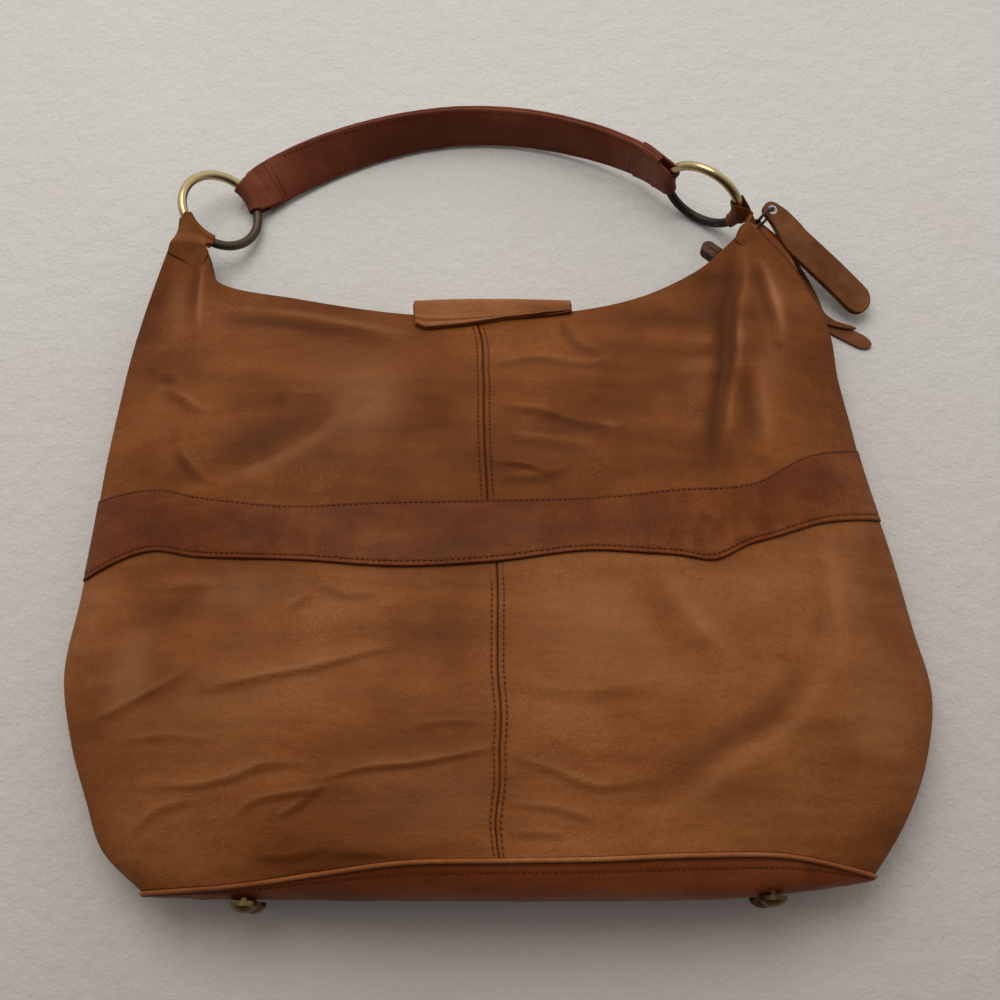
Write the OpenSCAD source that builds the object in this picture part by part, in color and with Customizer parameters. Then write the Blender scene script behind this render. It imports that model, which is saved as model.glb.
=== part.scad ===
// Hobo bag in tan leather, lying on its front face with its back face up.
// X runs across the bag, Y runs from the base to the handle and Z points up from the table.
// Each leather panel is a patch of one lofted surface, so the panels, lining and trim share their edges.

/* [Body] */
// Width across the widest part
body_w = 414; // [390:2:430]
// Height from the base corners to the ring tabs
body_h = 340; // [326:2:352]
// Thickness of the lying bag at its base
body_t = 60; // [52:1:66]
// Height of the mouth's back edge above the table
mouth_z = 27; // [24:1:32]
// How far the base panel stands out past its seam at the middle
base_bulge = 14; // [8:1:18]
// How far the left end of the base has slumped
base_slump = 9; // [0:1:12]

/* [Leather and cloth] */
// Thickness of the panel leather
leather_t = 2; // [1.4:0.1:2.2]
// Thickness of the waist band
band_t = 1.6; // [1.2:0.1:2]
// Thickness of the facing inside the mouth
facing_t = 1.2; // [0.8:0.1:1.6]
// Thickness of the cotton lining
lining_t = 0.8; // [0.5:0.1:1]
// Thickness of the stiffening board in the base
board_t = 2; // [1.2:0.2:2.4]
// Width of the waist band
band_w = 31; // [26:1:36]
// Depth of the facing below the mouth's edge
facing_w = 24; // [16:1:30]
// Width of the pocket sewn to the lining
pocket_w = 150; // [120:2:180]
// Depth of the pocket sewn to the lining
pocket_h = 120; // [90:2:140]
// Diameter of the piping round the base
piping_d = 3.4; // [2.6:0.2:4]

/* [Rings and handle] */
// Inner diameter of the two carry rings
ring_d = 38; // [34:1:40]
// Diameter of the ring wire
ring_wire = 5; // [4:0.5:5.5]
// Wall of a leather fold round a ring
fold_t = 1.8; // [1.4:0.1:2.2]
// Width of the handle strap
strap_w = 25; // [22:1:26]
// Thickness of the handle strap
strap_t = 4; // [3:0.5:5]
// How far the handle arches away from the rings
strap_rise = 40; // [34:1:48]

/* [Closing tab] */
// Width of the closing tab
tab_w = 82; // [70:1:90]
// Length of the tab that lies on the front of the bag
tab_l = 66; // [60:1:72]
// Thickness of the tab's two sewn layers
tab_t = 3; // [2.4:0.2:3.2]
// Corner radius at the free end of the tab
tab_r = 20; // [8:1:30]
// Diameter of the magnetic snap
snap_d = 17; // [14:1:20]
// Distance from the hinge line of the tab to the snap
snap_y = 46; // [40:1:50]

/* [Feet] */
// Diameter of the foot studs
foot_d = 12; // [9:1:13]
// Height of the foot studs
foot_h = 5; // [4:0.5:6]
// Distance between the feet across the bag
foot_span = 222; // [190:2:240]

/* [Fob] */
// Radius of the jump ring at the middle of its wire
jump_r = 6; // [5.5:0.5:7]
// Diameter of the jump ring's wire
jump_wire = 1.6; // [1.2:0.2:2]
// Length of the fob's tongue
tongue_l = 72; // [60:1:76]
// Width of the fob's tongue
tongue_w = 17; // [13:1:18]
// Thickness of each layer of the tongue and of the strips
tongue_t = 1.6; // [1.2:0.1:1.8]
// Width of the fob's narrow strips
strip_w = 7; // [5:0.5:8]

/* [Hidden] */

sewn_gap = 0.1;         // between layers that are sewn together
run_gap = 0.3;          // between pieces that move past each other
base_y = -206;          // line through the base corners
half_w = body_w / 2;
half_seam = leather_t + sewn_gap / 2;
floor_z = band_t + sewn_gap;
seam_lap = 8 / body_h;  // how far a panel runs under the band
band_mid = 0.486;
band_low = band_mid - band_w / body_h / 2;
band_top = band_mid + band_w / body_h / 2;
peak_u = [-0.9, 1];     // roots of the ring tabs, across the mouth edge
peak_shut = 0.2;        // share of the mouth edge that is sewn shut at each peak

// Side seams from the base corner to the peak: shares of half width, height and thickness
left_seam = [[-0.763, 0, 0.43], [-0.857, 0.05, 0.41], [-0.908, 0.115, 0.38], [-0.962, 0.195, 0.34],
    [-1, 0.29, 0.3], [-0.988, 0.4, 0.26], [-0.976, 0.512, 0.25], [-0.967, 0.61, 0.25], [-0.953, 0.7, 0.25],
    [-0.936, 0.78, 0.27], [-0.913, 0.85, 0.3], [-0.883, 0.915, 0.36], [-0.851, 0.972, 0.44]];
right_seam = [[0.802, 0.021, 0.43], [0.88, 0.085, 0.41], [0.947, 0.165, 0.36], [0.984, 0.26, 0.31],
    [0.963, 0.355, 0.27], [0.935, 0.465, 0.25], [0.893, 0.59, 0.24], [0.872, 0.675, 0.24], [0.853, 0.75, 0.25],
    [0.845, 0.82, 0.27], [0.812, 0.885, 0.3], [0.748, 0.95, 0.35], [0.655, 1.015, 0.4]];
// Base seam and mouth edge from left to right: shares of half width and height
base_seam = [[-0.763, 0], [-0.565, 0.007], [-0.377, 0.021], [-0.188, 0.034], [0.005, 0.036],
    [0.198, 0.038], [0.396, 0.043], [0.6, 0.043], [0.802, 0.021]];
mouth_edge = [[-0.851, 0.972], [-0.765, 0.966], [-0.714, 0.899], [-0.512, 0.871], [-0.27, 0.847],
    [-0.053, 0.839], [0.164, 0.848], [0.348, 0.873], [0.5, 0.92], [0.593, 0.972], [0.655, 1.015]];
// Height of the back along its middle, from the base to the mouth, as shares of the thickness
spine = [1, 0.99, 0.97, 0.93, 0.86, 0.77, 0.66, 0.54];

function mix(a, b, f) = a + (b - a) * f;
function unit(v) = v / norm(v);
function ease(f) = let(c = max(0, min(1, f))) c * c * (3 - 2 * c);
function bell(x, middle, spread) = exp(-pow((x - middle) / spread, 2));

// Smooth curve through the stations p, at f from 0 to 1
function curve(p, f) = let(n = len(p) - 1, i = max(0, min(n - 1, floor(f * n))), t = f * n - i,
    a = p[max(0, i - 1)], b = p[i], c = p[i + 1], d = p[min(n, i + 2)])
    0.5 * (2 * b + (c - a) * t + (2 * a - 5 * b + 4 * c - d) * t * t + (3 * b - a - 3 * c + d) * t * t * t);

// Plan position at u from -1 at the left seam to 1 at the right seam, and v from 0 at the base to 1 at the mouth
function plan_share(u, v) = let(s = (u + 1) / 2, l = curve(left_seam, v), r = curve(right_seam, v),
    low = curve(base_seam, s), top = curve(mouth_edge, s),
    sides = mix([l[0], l[1]], [r[0], r[1]], s),
    corners = mix(mix(base_seam[0], base_seam[8], s), mix(mouth_edge[0], mouth_edge[10], s), v))
    mix(low, top, v) + sides - corners;
function plan(u, v) = let(p = plan_share(u, v)) [p[0] * half_w, base_y + p[1] * body_h];

function seam_z(u, v) = body_t * mix(curve(left_seam, v)[2], curve(right_seam, v)[2], (u + 1) / 2);
function shut_at(v) = 1 - peak_shut * ease((v - 0.8) / 0.2);
function spine_z(v) = let(p = concat(spine * body_t, [mouth_z])) curve(p, v);
function slump(u, v) = base_slump * bell(u, -0.62, 0.24) * pow(1 - v, 7);
function tab_lift(u, v) = 5 * (1 - ease((abs(u - 0.03) - 0.24) / 0.22)) * ease((v - 0.52) / 0.16);
function base_rise(v) = piping_d * 0.7 * pow(max(0, 1 - v / 0.1), 2);

// Outer face of the back and of the front
function back_z(u, v) = let(m = seam_z(u, v) + half_seam, e = 2.4 + 0.8 * (1 - v),
    w = pow(min(1, abs(u) / shut_at(v)), e)) mix(spine_z(v), m, w) - slump(u, v) * (1 - w);
function front_z(u, v) = let(m = seam_z(u, v) - half_seam, w = pow(min(1, abs(u) / shut_at(v)), 5))
    mix(floor_z + tab_lift(u, v) + base_rise(v), m, w);
function back_at(u, v, depth = 0) = let(p = plan(u, v)) [p[0], p[1], back_z(u, v) - depth];
function front_at(u, v, depth = 0) = let(p = plan(u, v)) [p[0], p[1], front_z(u, v) + depth];

// Outer face of the base panel, with w from 0 at the back seam to 1 at the front seam
base_face = base_y + body_h * 0.036 - leather_t - sewn_gap - base_bulge;
function base_at(u, w, depth = 0) = let(p = plan(u, 0), edge = p[1] - leather_t - sewn_gap,
    out = (edge - base_face) * (1 - pow(abs(u), 6)) * (1 - pow(abs(2 * w - 1), 4)))
    [p[0], edge - out + depth, mix(back_z(u, 0), front_z(u, 0), w)];

// Closed sheet between two grids of points, each a list of rows of equal length
module sheet(outer, inner) {
    rows = len(outer);
    cols = len(outer[0]);
    count = rows * cols;
    function at(i, j, k) = k * count + i * cols + j;
    points = [for (grid = [outer, inner]) for (row = grid) for (p = row) p];
    faces = [
        for (i = [0:rows - 2]) for (j = [0:cols - 2]) for (f = [
            [at(i, j, 0), at(i + 1, j, 0), at(i + 1, j + 1, 0)], [at(i, j, 0), at(i + 1, j + 1, 0), at(i, j + 1, 0)],
            [at(i, j, 1), at(i + 1, j + 1, 1), at(i + 1, j, 1)], [at(i, j, 1), at(i, j + 1, 1), at(i + 1, j + 1, 1)]])
            f,
        for (i = [0:rows - 2]) for (j = [0, cols - 1]) for (f = [
            [at(i, j, 0), at(i, j, 1), at(i + 1, j, 1)], [at(i, j, 0), at(i + 1, j, 1), at(i + 1, j, 0)]])
            j == 0 ? f : [f[0], f[2], f[1]],
        for (j = [0:cols - 2]) for (i = [0, rows - 1]) for (f = [
            [at(i, j, 0), at(i, j + 1, 1), at(i, j, 1)], [at(i, j, 0), at(i, j + 1, 0), at(i, j + 1, 1)]])
            i == 0 ? f : [f[0], f[2], f[1]]];
    polyhedron(points, faces, convexity = 6);
}

function steps(from, to, n) = [for (i = [0:n]) mix(from, to, i / n)];

// Sheets on the back, the front and the base, between two depths below the outer face
module back_sheet(u, v, nu, nv, from, to)
    sheet([for (b = steps(v[0], v[1], nv)) [for (a = steps(u[0], u[1], nu)) back_at(a, b, to)]],
        [for (b = steps(v[0], v[1], nv)) [for (a = steps(u[0], u[1], nu)) back_at(a, b, from)]]);
module front_sheet(u, v, nu, nv, from, to)
    sheet([for (b = steps(v[0], v[1], nv)) [for (a = steps(u[0], u[1], nu)) front_at(a, b, from)]],
        [for (b = steps(v[0], v[1], nv)) [for (a = steps(u[0], u[1], nu)) front_at(a, b, to)]]);
module base_sheet(u, w, nu, nw, from, to)
    sheet([for (b = steps(w[0], w[1], nw)) [for (a = steps(u[0], u[1], nu)) base_at(a, b, from)]],
        [for (b = steps(w[0], w[1], nw)) [for (a = steps(u[0], u[1], nu)) base_at(a, b, to)]]);

// Solid swept through a list of cross-sections with equal numbers of points
module skin(sections) {
    n = len(sections[0]);
    last = len(sections) - 1;
    points = [for (s = sections) for (p = s) p];
    faces = [
        for (i = [0:last - 1]) for (j = [0:n - 1]) let(k = (j + 1) % n)
            for (f = [[i * n + j, (i + 1) * n + k, i * n + k], [i * n + j, (i + 1) * n + j, (i + 1) * n + k]]) f,
        [for (j = [0:n - 1]) j],
        [for (j = [0:n - 1]) last * n + n - 1 - j]];
    polyhedron(points, faces, convexity = 6);
}

// Flat ribbon through centre points, with its width and thickness directions at each
module ribbon(path, across, up, width, thickness)
    skin([for (i = [0:len(path) - 1]) let(a = across[i] * width / 2, b = up[i] * thickness / 2)
        [path[i] - a - b, path[i] + a - b, path[i] + a + b, path[i] - a + b]]);

// ---------- leather panels ----------
module back_upper(u) { back_sheet(u, [band_top - seam_lap, 1], 10, 12, 0, leather_t); }
module back_lower(u) { back_sheet(u, [0, band_low + seam_lap], 10, 12, 0, leather_t); }
module front_upper(u) { front_sheet(u, [band_top - seam_lap, 1], 10, 12, 0, leather_t); }
module front_lower(u) { front_sheet(u, [0, band_low + seam_lap], 10, 12, 0, leather_t); }

module back_upper_left() color("sienna") back_upper([-1, 0]);
module back_upper_right() color("sienna") back_upper([0, 1]);
module back_lower_left() color("peru") back_lower([-1, 0]);
module back_lower_right() color("peru") back_lower([0, 1]);
module front_upper_left() color("sienna") front_upper([-1, 0]);
module front_upper_right() color("sienna") front_upper([0, 1]);
module front_lower_left() color("peru") front_lower([-1, 0]);
module front_lower_right() color("peru") front_lower([0, 1]);
module back_band() color("saddlebrown")
    back_sheet([-1, 1], [band_low, band_top], 20, 2, -band_t - sewn_gap, -sewn_gap);
module front_band() color("saddlebrown")
    front_sheet([-1, 1], [band_low, band_top], 20, 2, -band_t - sewn_gap, -sewn_gap);

// ---------- base ----------
foot_lines = [0.24, 0.76];
board_u = 0.7;
board_gap = 0.4;  // the board lies loosely on the base leather
foot_hole = 1.7;
function foot_u(side) = side * foot_span / body_w / 0.755;
// Each foot stands square to the board's plane at its place on the base
module at_feet() {
    for (side = [-1, 1]) for (w = foot_lines) translate(base_at(foot_u(side), w)) rotate([90, 0, 0]) children();
}
hole_h = 40;  // long enough to pass through all the layers of the base
module foot_holes() { at_feet() cylinder(h = hole_h, r = foot_hole, center = true, $fn = 24); }

module base_panel() color("maroon") difference() {
    base_sheet([-1, 1], [0, 1], 20, 10, 0, leather_t);
    foot_holes();
}
module base_board() color("burlywood") difference() {
    base_sheet([-board_u, board_u], [0.1, 0.9], 14, 8, leather_t + board_gap, leather_t + board_gap + board_t);
    foot_holes();
}
module base_piping() color("peru") for (edge = [0, 1]) skin([for (u = steps(-1, 1, 24))
    let(p = base_at(u, edge), r = piping_d / 2, side = edge == 0 ? 1 : -1,
        c = p + [0, leather_t / 2, side * (r + sewn_gap)])
    [for (a = [0:45:315]) c + r * [0, cos(a), sin(a)]]]);
module foot_studs() color("darkgoldenrod") at_feet() {
    translate([0, 0, foot_seat]) intersection() {
        translate([0, 0, foot_h - foot_d * 0.62]) sphere(d = foot_d * 1.24, $fn = 48);
        cylinder(h = foot_h, d = foot_d, $fn = 48);
    }
    translate([0, 0, -foot_shank]) cylinder(h = foot_shank + foot_seat + 0.5, r = foot_hole - sewn_gap, $fn = 24);
}
foot_shank = leather_t + board_t + 4.6;
foot_seat = 1.3;  // the stud's head clears the curve of the leather
module foot_washers() color("silver") at_feet()
    translate([0, 0, -foot_shank]) difference() {
        cylinder(h = 1, d = foot_d * 0.7, $fn = 32);
        translate([0, 0, -1]) cylinder(h = 3, r = foot_hole, $fn = 24);
    }

// ---------- inside ----------
lining_gap = 0.4;        // the cloth lies loosely against the leather
lining_depth = leather_t + lining_gap;
lining_end = 0.9;
function facing_v() = 1 - facing_w / body_h * 1.15;
module lining_back() color("wheat")
    back_sheet([-lining_end, lining_end], [0.05, facing_v() - 0.01], 18, 14, lining_depth, lining_depth + lining_t);
module lining_front() color("wheat")
    front_sheet([-lining_end, lining_end], [0.05, facing_v() - 0.01], 18, 14, lining_depth, lining_depth + lining_t);
module lining_base() color("wheat")
    base_sheet([-0.9, 0.9], [0.14, 0.86], 14, 4, foot_shank + 1, foot_shank + 1 + lining_t);
module inner_pocket() color("tan") let(d = lining_depth + lining_t + lining_gap, half = pocket_w / body_w / 0.93)
    back_sheet([-half, half], [facing_v() - 0.03 - pocket_h / body_h, facing_v() - 0.03], 8, 8, d, d + lining_t);
facing_u = 0.7;
module facing_back() color("sienna")
    back_sheet([-facing_u, facing_u], [facing_v(), 0.998], 14, 2, lining_depth, lining_depth + facing_t);
module facing_front() color("sienna")
    front_sheet([-facing_u, facing_u], [facing_v(), 0.998], 14, 2, lining_depth, lining_depth + facing_t);
// A short folded loop sewn into the right end of the mouth
loop_u = 0.74;
module mouth_loop() color("dimgray") let(p = plan(loop_u, 1), z = back_z(loop_u, 1) - leather_t - 4)
    translate([p[0], p[1], z]) rotate([0, 0, 139]) translate([run_gap, 0, -3.5])
    linear_extrude(7) difference() {
        union() {
            translate([5.5, 0]) circle(d = 8.4, $fn = 32);
            translate([0, -4.2]) square([5.5, 8.4]);
        }
        translate([5.5, 0]) circle(d = 4.6, $fn = 32);
        translate([-1, -2.3]) square([6.5, 4.6]);
    }

// ---------- rings, tabs and handle ----------
ring_r = (ring_d + ring_wire) / 2;
fold_in = ring_wire / 2 + run_gap;
fold_out = fold_in + fold_t;
bead_r = 2.4;
fold_turn = 34;  // how far a fold reaches each way round its ring
root_r = ring_r + fold_out + bead_r;  // from a ring's centre to the bead at a tab's root
neck_r = ring_r + fold_in + 0.3;
left_turn = [0, 32, 0];
right_turn = [90, 0, -31];
left_tab_angle = 235;
left_strap_angle = 42;
right_tab_angle = 0;
right_strap_angle = 180;

// A direction in a ring's own plane, carried into the bag's frame
function turned(v, r) = let(a = [v[0], v[1] * cos(r[0]) - v[2] * sin(r[0]), v[1] * sin(r[0]) + v[2] * cos(r[0])],
    b = [a[0] * cos(r[1]) + a[2] * sin(r[1]), a[1], a[2] * cos(r[1]) - a[0] * sin(r[1])])
    [b[0] * cos(r[2]) - b[1] * sin(r[2]), b[0] * sin(r[2]) + b[1] * cos(r[2]), b[2]];
function spoke(angle, r) = turned([cos(angle), sin(angle), 0], r);
function peak(u) = let(p = plan(u, 1)) [p[0], p[1] + bead_r + run_gap, seam_z(u, 1)];
left_root = peak(peak_u[0]);
right_root = peak(peak_u[1]);
left_ring = left_root - root_r * spoke(left_tab_angle, left_turn);
right_ring = right_root - root_r * spoke(right_tab_angle, right_turn);

module ring() { rotate_extrude($fn = 96) translate([ring_r, 0]) circle(d = ring_wire, $fn = 32); }
module ring_left() color("goldenrod") translate(left_ring) rotate(left_turn) ring();
module ring_right() color("goldenrod") translate(right_ring) rotate(right_turn) ring();

// Leather folded round a ring's wire, at an angle round the ring, over half_turn each way
module fold(angle, half_turn) {
    rotate([0, 0, angle - half_turn]) rotate_extrude(angle = 2 * half_turn, $fn = 96) translate([ring_r, 0])
        difference() {
            circle(r = fold_out, $fn = 32);
            circle(r = fold_in, $fn = 32);
        }
}
// A tab: the fold, and a gathered neck that ends in a bead on the handle's swing line
module ring_tab(angle) {
    fold(angle, fold_turn);
    rotate([0, 0, angle]) {
        translate([0, 0, -bead_r + 0.2]) linear_extrude(2 * bead_r - 0.4)
            polygon([[neck_r, -8], [neck_r, 8], [root_r, 1.4], [root_r, -1.4]]);
        translate([root_r, 0, 0]) sphere(r = bead_r, $fn = 32);
    }
}
module ring_tab_left() color("peru") translate(left_ring) rotate(left_turn) ring_tab(left_tab_angle);
module ring_tab_right() color("peru") translate(right_ring) rotate(right_turn) ring_tab(right_tab_angle);

// Strap: its centre line, and the lean of its width from upright
strap_start = left_ring + (ring_r + fold_out + 2) * spoke(left_strap_angle, left_turn);
strap_end = right_ring + (ring_r + fold_out + 2) * spoke(right_strap_angle, right_turn);
strap_lean = 28;
left_lean = 74;
strap_low = strap_w / 2 + 0.5;
function strap_mid(s) = [mix(strap_start[0], strap_end[0], s),
    mix(strap_start[1], strap_end[1], s) + strap_rise * pow(max(0, sin(180 * pow(s, 1.15))), 0.7),
    strap_low + (strap_start[2] - strap_low) * pow(1 - s, 6) + (strap_end[2] - strap_low) * pow(s, 6)];
function strap_along(s) = unit(strap_mid(min(1, s + 0.03)) - strap_mid(max(0, s - 0.03)));
function strap_tilt(s) = strap_lean + (left_lean - strap_lean) * pow(1 - s, 5) - strap_lean * pow(s, 5);
function strap_across(s) = let(d = strap_along(s), out = unit([-d[1], d[0], 0]), a = strap_tilt(s))
    unit(out * sin(a) + [0, 0, cos(a)]);
strap_steps = steps(0, 1, 28);
module strap_band() ribbon([for (s = strap_steps) strap_mid(s)], [for (s = strap_steps) strap_across(s)],
    [for (s = strap_steps) unit(cross(strap_along(s), strap_across(s)))], strap_w, strap_t);
module strap_fold(angle) {
    fold(angle, fold_turn);
    rotate([0, 0, angle]) translate([ring_r + fold_out - 1.6, -strap_w * 0.42, -strap_t / 2])
        cube([4.2, strap_w * 0.84, strap_t]);
}
module strap() color("brown") {
    strap_band();
    translate(left_ring) rotate(left_turn) strap_fold(left_strap_angle);
    translate(right_ring) rotate(right_turn) strap_fold(right_strap_angle);
}

// ---------- closing tab ----------
tab_x = -4;
tab_u = [-0.152, 0.216];
root_v = 0.968;
tab_edge_y = max(plan(tab_u[0], 1)[1], plan(tab_u[1], 1)[1], plan(0, 1)[1]);
tab_hinge = [tab_x, tab_edge_y + run_gap + tab_t / 2, back_z(0, 1) + tab_t + 1.3];
tab_reach = 8;  // how far the tab stands out round the mouth
tab_low = tab_t / 2;
module closing_tab_root() color("tan")
    back_sheet(tab_u, [root_v, 1], 6, 1, -tab_t - sewn_gap, -sewn_gap);
// Middle line of the tab in the plane of Y and Z: round the mouth, then flat under the front
function tab_line() = let(half = (tab_hinge[2] - tab_low) / 2) concat(
    [for (a = [0:15:180]) [tab_reach * sin(a), half * (cos(a) - 1)]],
    [[-tab_l * 0.5, -2 * half], [-tab_l, -2 * half]]);
function side_of(line, i, off) = let(d = unit(line[min(len(line) - 1, i + 1)] - line[max(0, i - 1)]))
    line[i] + off * [-d[1], d[0]];
module tab_profile() {
    line = tab_line();
    n = len(line) - 1;
    polygon(concat([for (i = [0:n]) side_of(line, i, tab_t / 2)], [for (i = [0:n]) side_of(line, n - i, -tab_t / 2)]));
}
module closing_tab() color("tan") translate(tab_hinge) intersection() {
    union() {
        rotate([90, 0, 90]) linear_extrude(tab_w, center = true) tab_profile();
        rotate([0, 90, 0]) cylinder(h = tab_w, d = tab_t, center = true, $fn = 32);
    }
    linear_extrude(body_t * 2, center = true) {
        for (side = [-1, 1]) translate([side * (tab_w / 2 - tab_r), -tab_l + tab_r]) circle(r = tab_r, $fn = 64);
        translate([-tab_w / 2 + tab_r, -tab_l]) square([tab_w - 2 * tab_r, tab_l]);
        translate([-tab_w / 2, -tab_l + tab_r]) square([tab_w, tab_l + 20]);
    }
}
snap_at = [tab_x, tab_hinge[1] - snap_y, 0];
snap_top = floor_z + 5 - sewn_gap;
module snap_magnet() color("silver") translate(snap_at) translate([0, 0, tab_t]) {
    cylinder(h = 1.2, d = snap_d, $fn = 48);
    cylinder(h = 2.2, d = 5, $fn = 32);
}
module snap_cap() color("gold") translate(snap_at) translate([0, 0, tab_t + 1.2 + run_gap]) difference() {
    cylinder(h = snap_top - tab_t - 1.2 - run_gap, d = snap_d, $fn = 48);
    translate([0, 0, -1]) cylinder(h = 2.4, d = 7, $fn = 32);
}

// ---------- fob ----------
keeper_v = 0.985;
keeper_at = concat(plan(1, keeper_v), [seam_z(1, keeper_v)]);
ring_turn = 45;     // the jump ring stands upright, square to the seam
tongue_turn = -40;  // the tongue lies along the seam
keeper_wall = 1;
keeper_reach = jump_r + jump_wire / 2 + run_gap + keeper_wall;
jump_at = keeper_at + (keeper_reach + sewn_gap) * [cos(ring_turn), sin(ring_turn), 0];
eyelet_at = jump_at + jump_r * [cos(ring_turn), sin(ring_turn), 0];
module in_fob() { translate(jump_at) rotate([90, 0, ring_turn]) children(); }
keeper_angle = 180;
module fob_keeper() color("peru") {
    in_fob() rotate([0, 0, keeper_angle - 24]) rotate_extrude(angle = 48, $fn = 64) translate([jump_r, 0])
        difference() {
            circle(r = jump_wire / 2 + run_gap + keeper_wall, $fn = 32);
            circle(r = jump_wire / 2 + run_gap, $fn = 32);
        }
}
module fob_jump_ring() color("dimgray") in_fob()
    rotate_extrude($fn = 64) translate([jump_r, 0]) circle(d = jump_wire, $fn = 24);
// The tongue slopes from the ring down to the table
tongue_drop = 12;
eyelet_in = jump_wire / 2 + 0.9;
eyelet_out = eyelet_in + 1;
tongue_end_gap = 5;
module in_tongue() { translate(eyelet_at) rotate([0, 0, tongue_turn]) rotate([0, tongue_drop, 0]) children(); }
module tongue_layer(from) {
    in_tongue() translate([0, 0, from]) linear_extrude(tongue_t) difference() {
        union() {
            circle(r = tongue_end_gap, $fn = 48);
            translate([tongue_l - tongue_end_gap - tongue_w / 2, 0]) circle(d = tongue_w, $fn = 48);
            polygon([[0, -tongue_end_gap], [tongue_w, -tongue_w / 2], [tongue_l - tongue_end_gap - tongue_w / 2, -tongue_w / 2],
                [tongue_l - tongue_end_gap - tongue_w / 2, tongue_w / 2], [tongue_w, tongue_w / 2], [0, tongue_end_gap]]);
        }
        circle(r = eyelet_out, $fn = 32);
    }
}
module fob_tongue_upper() color("sienna") tongue_layer(sewn_gap / 2);
module fob_tongue_lower() color("peru") tongue_layer(-tongue_t - sewn_gap / 2);
module fob_eyelet() color("silver") in_tongue() translate([0, 0, -tongue_t - sewn_gap]) difference() {
    cylinder(h = 2 * tongue_t + 2 * sewn_gap, r = eyelet_out - sewn_gap / 2, $fn = 32);
    translate([0, 0, -1]) cylinder(h = 2 * tongue_t + 3, r = eyelet_in, $fn = 32);
}
// Two narrow strips hang from the jump ring's underside and run out past the bag's side seam
strip_gap = tongue_t + 0.5;
strip_rest = tongue_t / 2 + 0.3;
function strip_path(reach, lift) = let(a = jump_at) [
    a + [0, 0, lift - jump_r - jump_wire / 2 - run_gap - tongue_t / 2 - strip_gap], a + [9, -8, lift - 13],
    [a[0] + 18, a[1] - 20, strip_rest + lift + 3], [a[0] + 26, a[1] - 32, strip_rest + lift],
    [a[0] + 33, a[1] - 44, strip_rest + lift], [a[0] + 33 + reach * 0.8, a[1] - 44 - reach * 0.6, strip_rest + lift]];
module strip(reach, lift, width) {
    path = [for (f = steps(0, 1, 12)) curve(strip_path(reach, lift), f)];
    n = len(path) - 1;
    along = [for (i = [0:n]) unit(path[min(n, i + 1)] - path[max(0, i - 1)])];
    across = [for (d = along) unit([-d[1], d[0], 0])];
    ribbon(path, across, [for (i = [0:n]) cross(along[i], across[i])], width, tongue_t);
}
module fob_strips() color("peru") {
    strip(26, 0, strip_w);
    strip(12, strip_gap, strip_w * 0.8);
}

back_upper_left();
back_upper_right();
back_band();
back_lower_left();
back_lower_right();
front_upper_left();
front_upper_right();
front_band();
front_lower_left();
front_lower_right();
base_panel();
base_board();
base_piping();
foot_studs();
foot_washers();
lining_back();
lining_front();
lining_base();
inner_pocket();
facing_back();
facing_front();
mouth_loop();
ring_tab_left();
ring_tab_right();
ring_left();
ring_right();
strap();
closing_tab_root();
closing_tab();
snap_magnet();
snap_cap();
fob_keeper();
fob_jump_ring();
fob_tongue_upper();
fob_tongue_lower();
fob_eyelet();
fob_strips();
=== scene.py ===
"""Hobo bag lying on its front: the dressed model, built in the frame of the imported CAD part.

The body is a patchwork of sheets on one lofted surface. Lengths are in millimetres until a mesh is made.
"""
import math

import bmesh
import bpy
import numpy as np
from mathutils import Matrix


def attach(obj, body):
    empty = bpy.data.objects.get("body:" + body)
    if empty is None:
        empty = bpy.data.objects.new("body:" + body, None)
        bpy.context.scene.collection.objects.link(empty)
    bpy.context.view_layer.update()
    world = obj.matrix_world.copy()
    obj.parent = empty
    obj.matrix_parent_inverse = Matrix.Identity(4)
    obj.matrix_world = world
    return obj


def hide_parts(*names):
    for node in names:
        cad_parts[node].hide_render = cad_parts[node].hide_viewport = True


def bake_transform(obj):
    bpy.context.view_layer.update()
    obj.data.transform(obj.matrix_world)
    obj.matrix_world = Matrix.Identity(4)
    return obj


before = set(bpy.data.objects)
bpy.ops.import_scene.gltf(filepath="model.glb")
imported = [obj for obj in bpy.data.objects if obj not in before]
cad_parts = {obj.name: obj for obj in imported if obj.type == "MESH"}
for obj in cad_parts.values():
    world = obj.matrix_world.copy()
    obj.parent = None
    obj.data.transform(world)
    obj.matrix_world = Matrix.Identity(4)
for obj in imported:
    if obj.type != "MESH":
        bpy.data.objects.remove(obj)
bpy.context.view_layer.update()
MM = 0.001

# ---------------------------------------------------------------- sizes shared with the solids
BODY_W, BODY_H, BODY_T = 414, 340, 60
MOUTH_Z, BASE_Y, BASE_BULGE, BASE_SLUMP = 27, -206, 14, 9
LEATHER, BAND, SEWN, FACING, LINING, PIPING = 2.0, 1.6, 0.1, 1.2, 0.8, 3.4
HALF_W = BODY_W / 2
HALF_SEAM = LEATHER + SEWN / 2
FLOOR_Z = BAND + SEWN
BAND_LOW, BAND_TOP = 0.4404, 0.5316
LAP = 8 / BODY_H
PEAK_SHUT = 0.2
LINING_DEPTH = LEATHER + 0.4
FACING_V = 1 - 24 / BODY_H * 1.15
RING_R, WIRE = 21.5, 5
FOLD_IN, FOLD_T = 2.8, 1.8
FOLD_OUT = FOLD_IN + FOLD_T
BEAD = 2.4
STRAP_W, STRAP_T = 25, 4
TAB_T, TAB_W, TAB_L, TAB_R, TAB_X, TAB_REACH = 3, 82, 66, 20, -4, 8
TAB_U = (-0.152, 0.216)
TONGUE_T, TONGUE_L, TONGUE_W = 1.6, 72, 17

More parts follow.
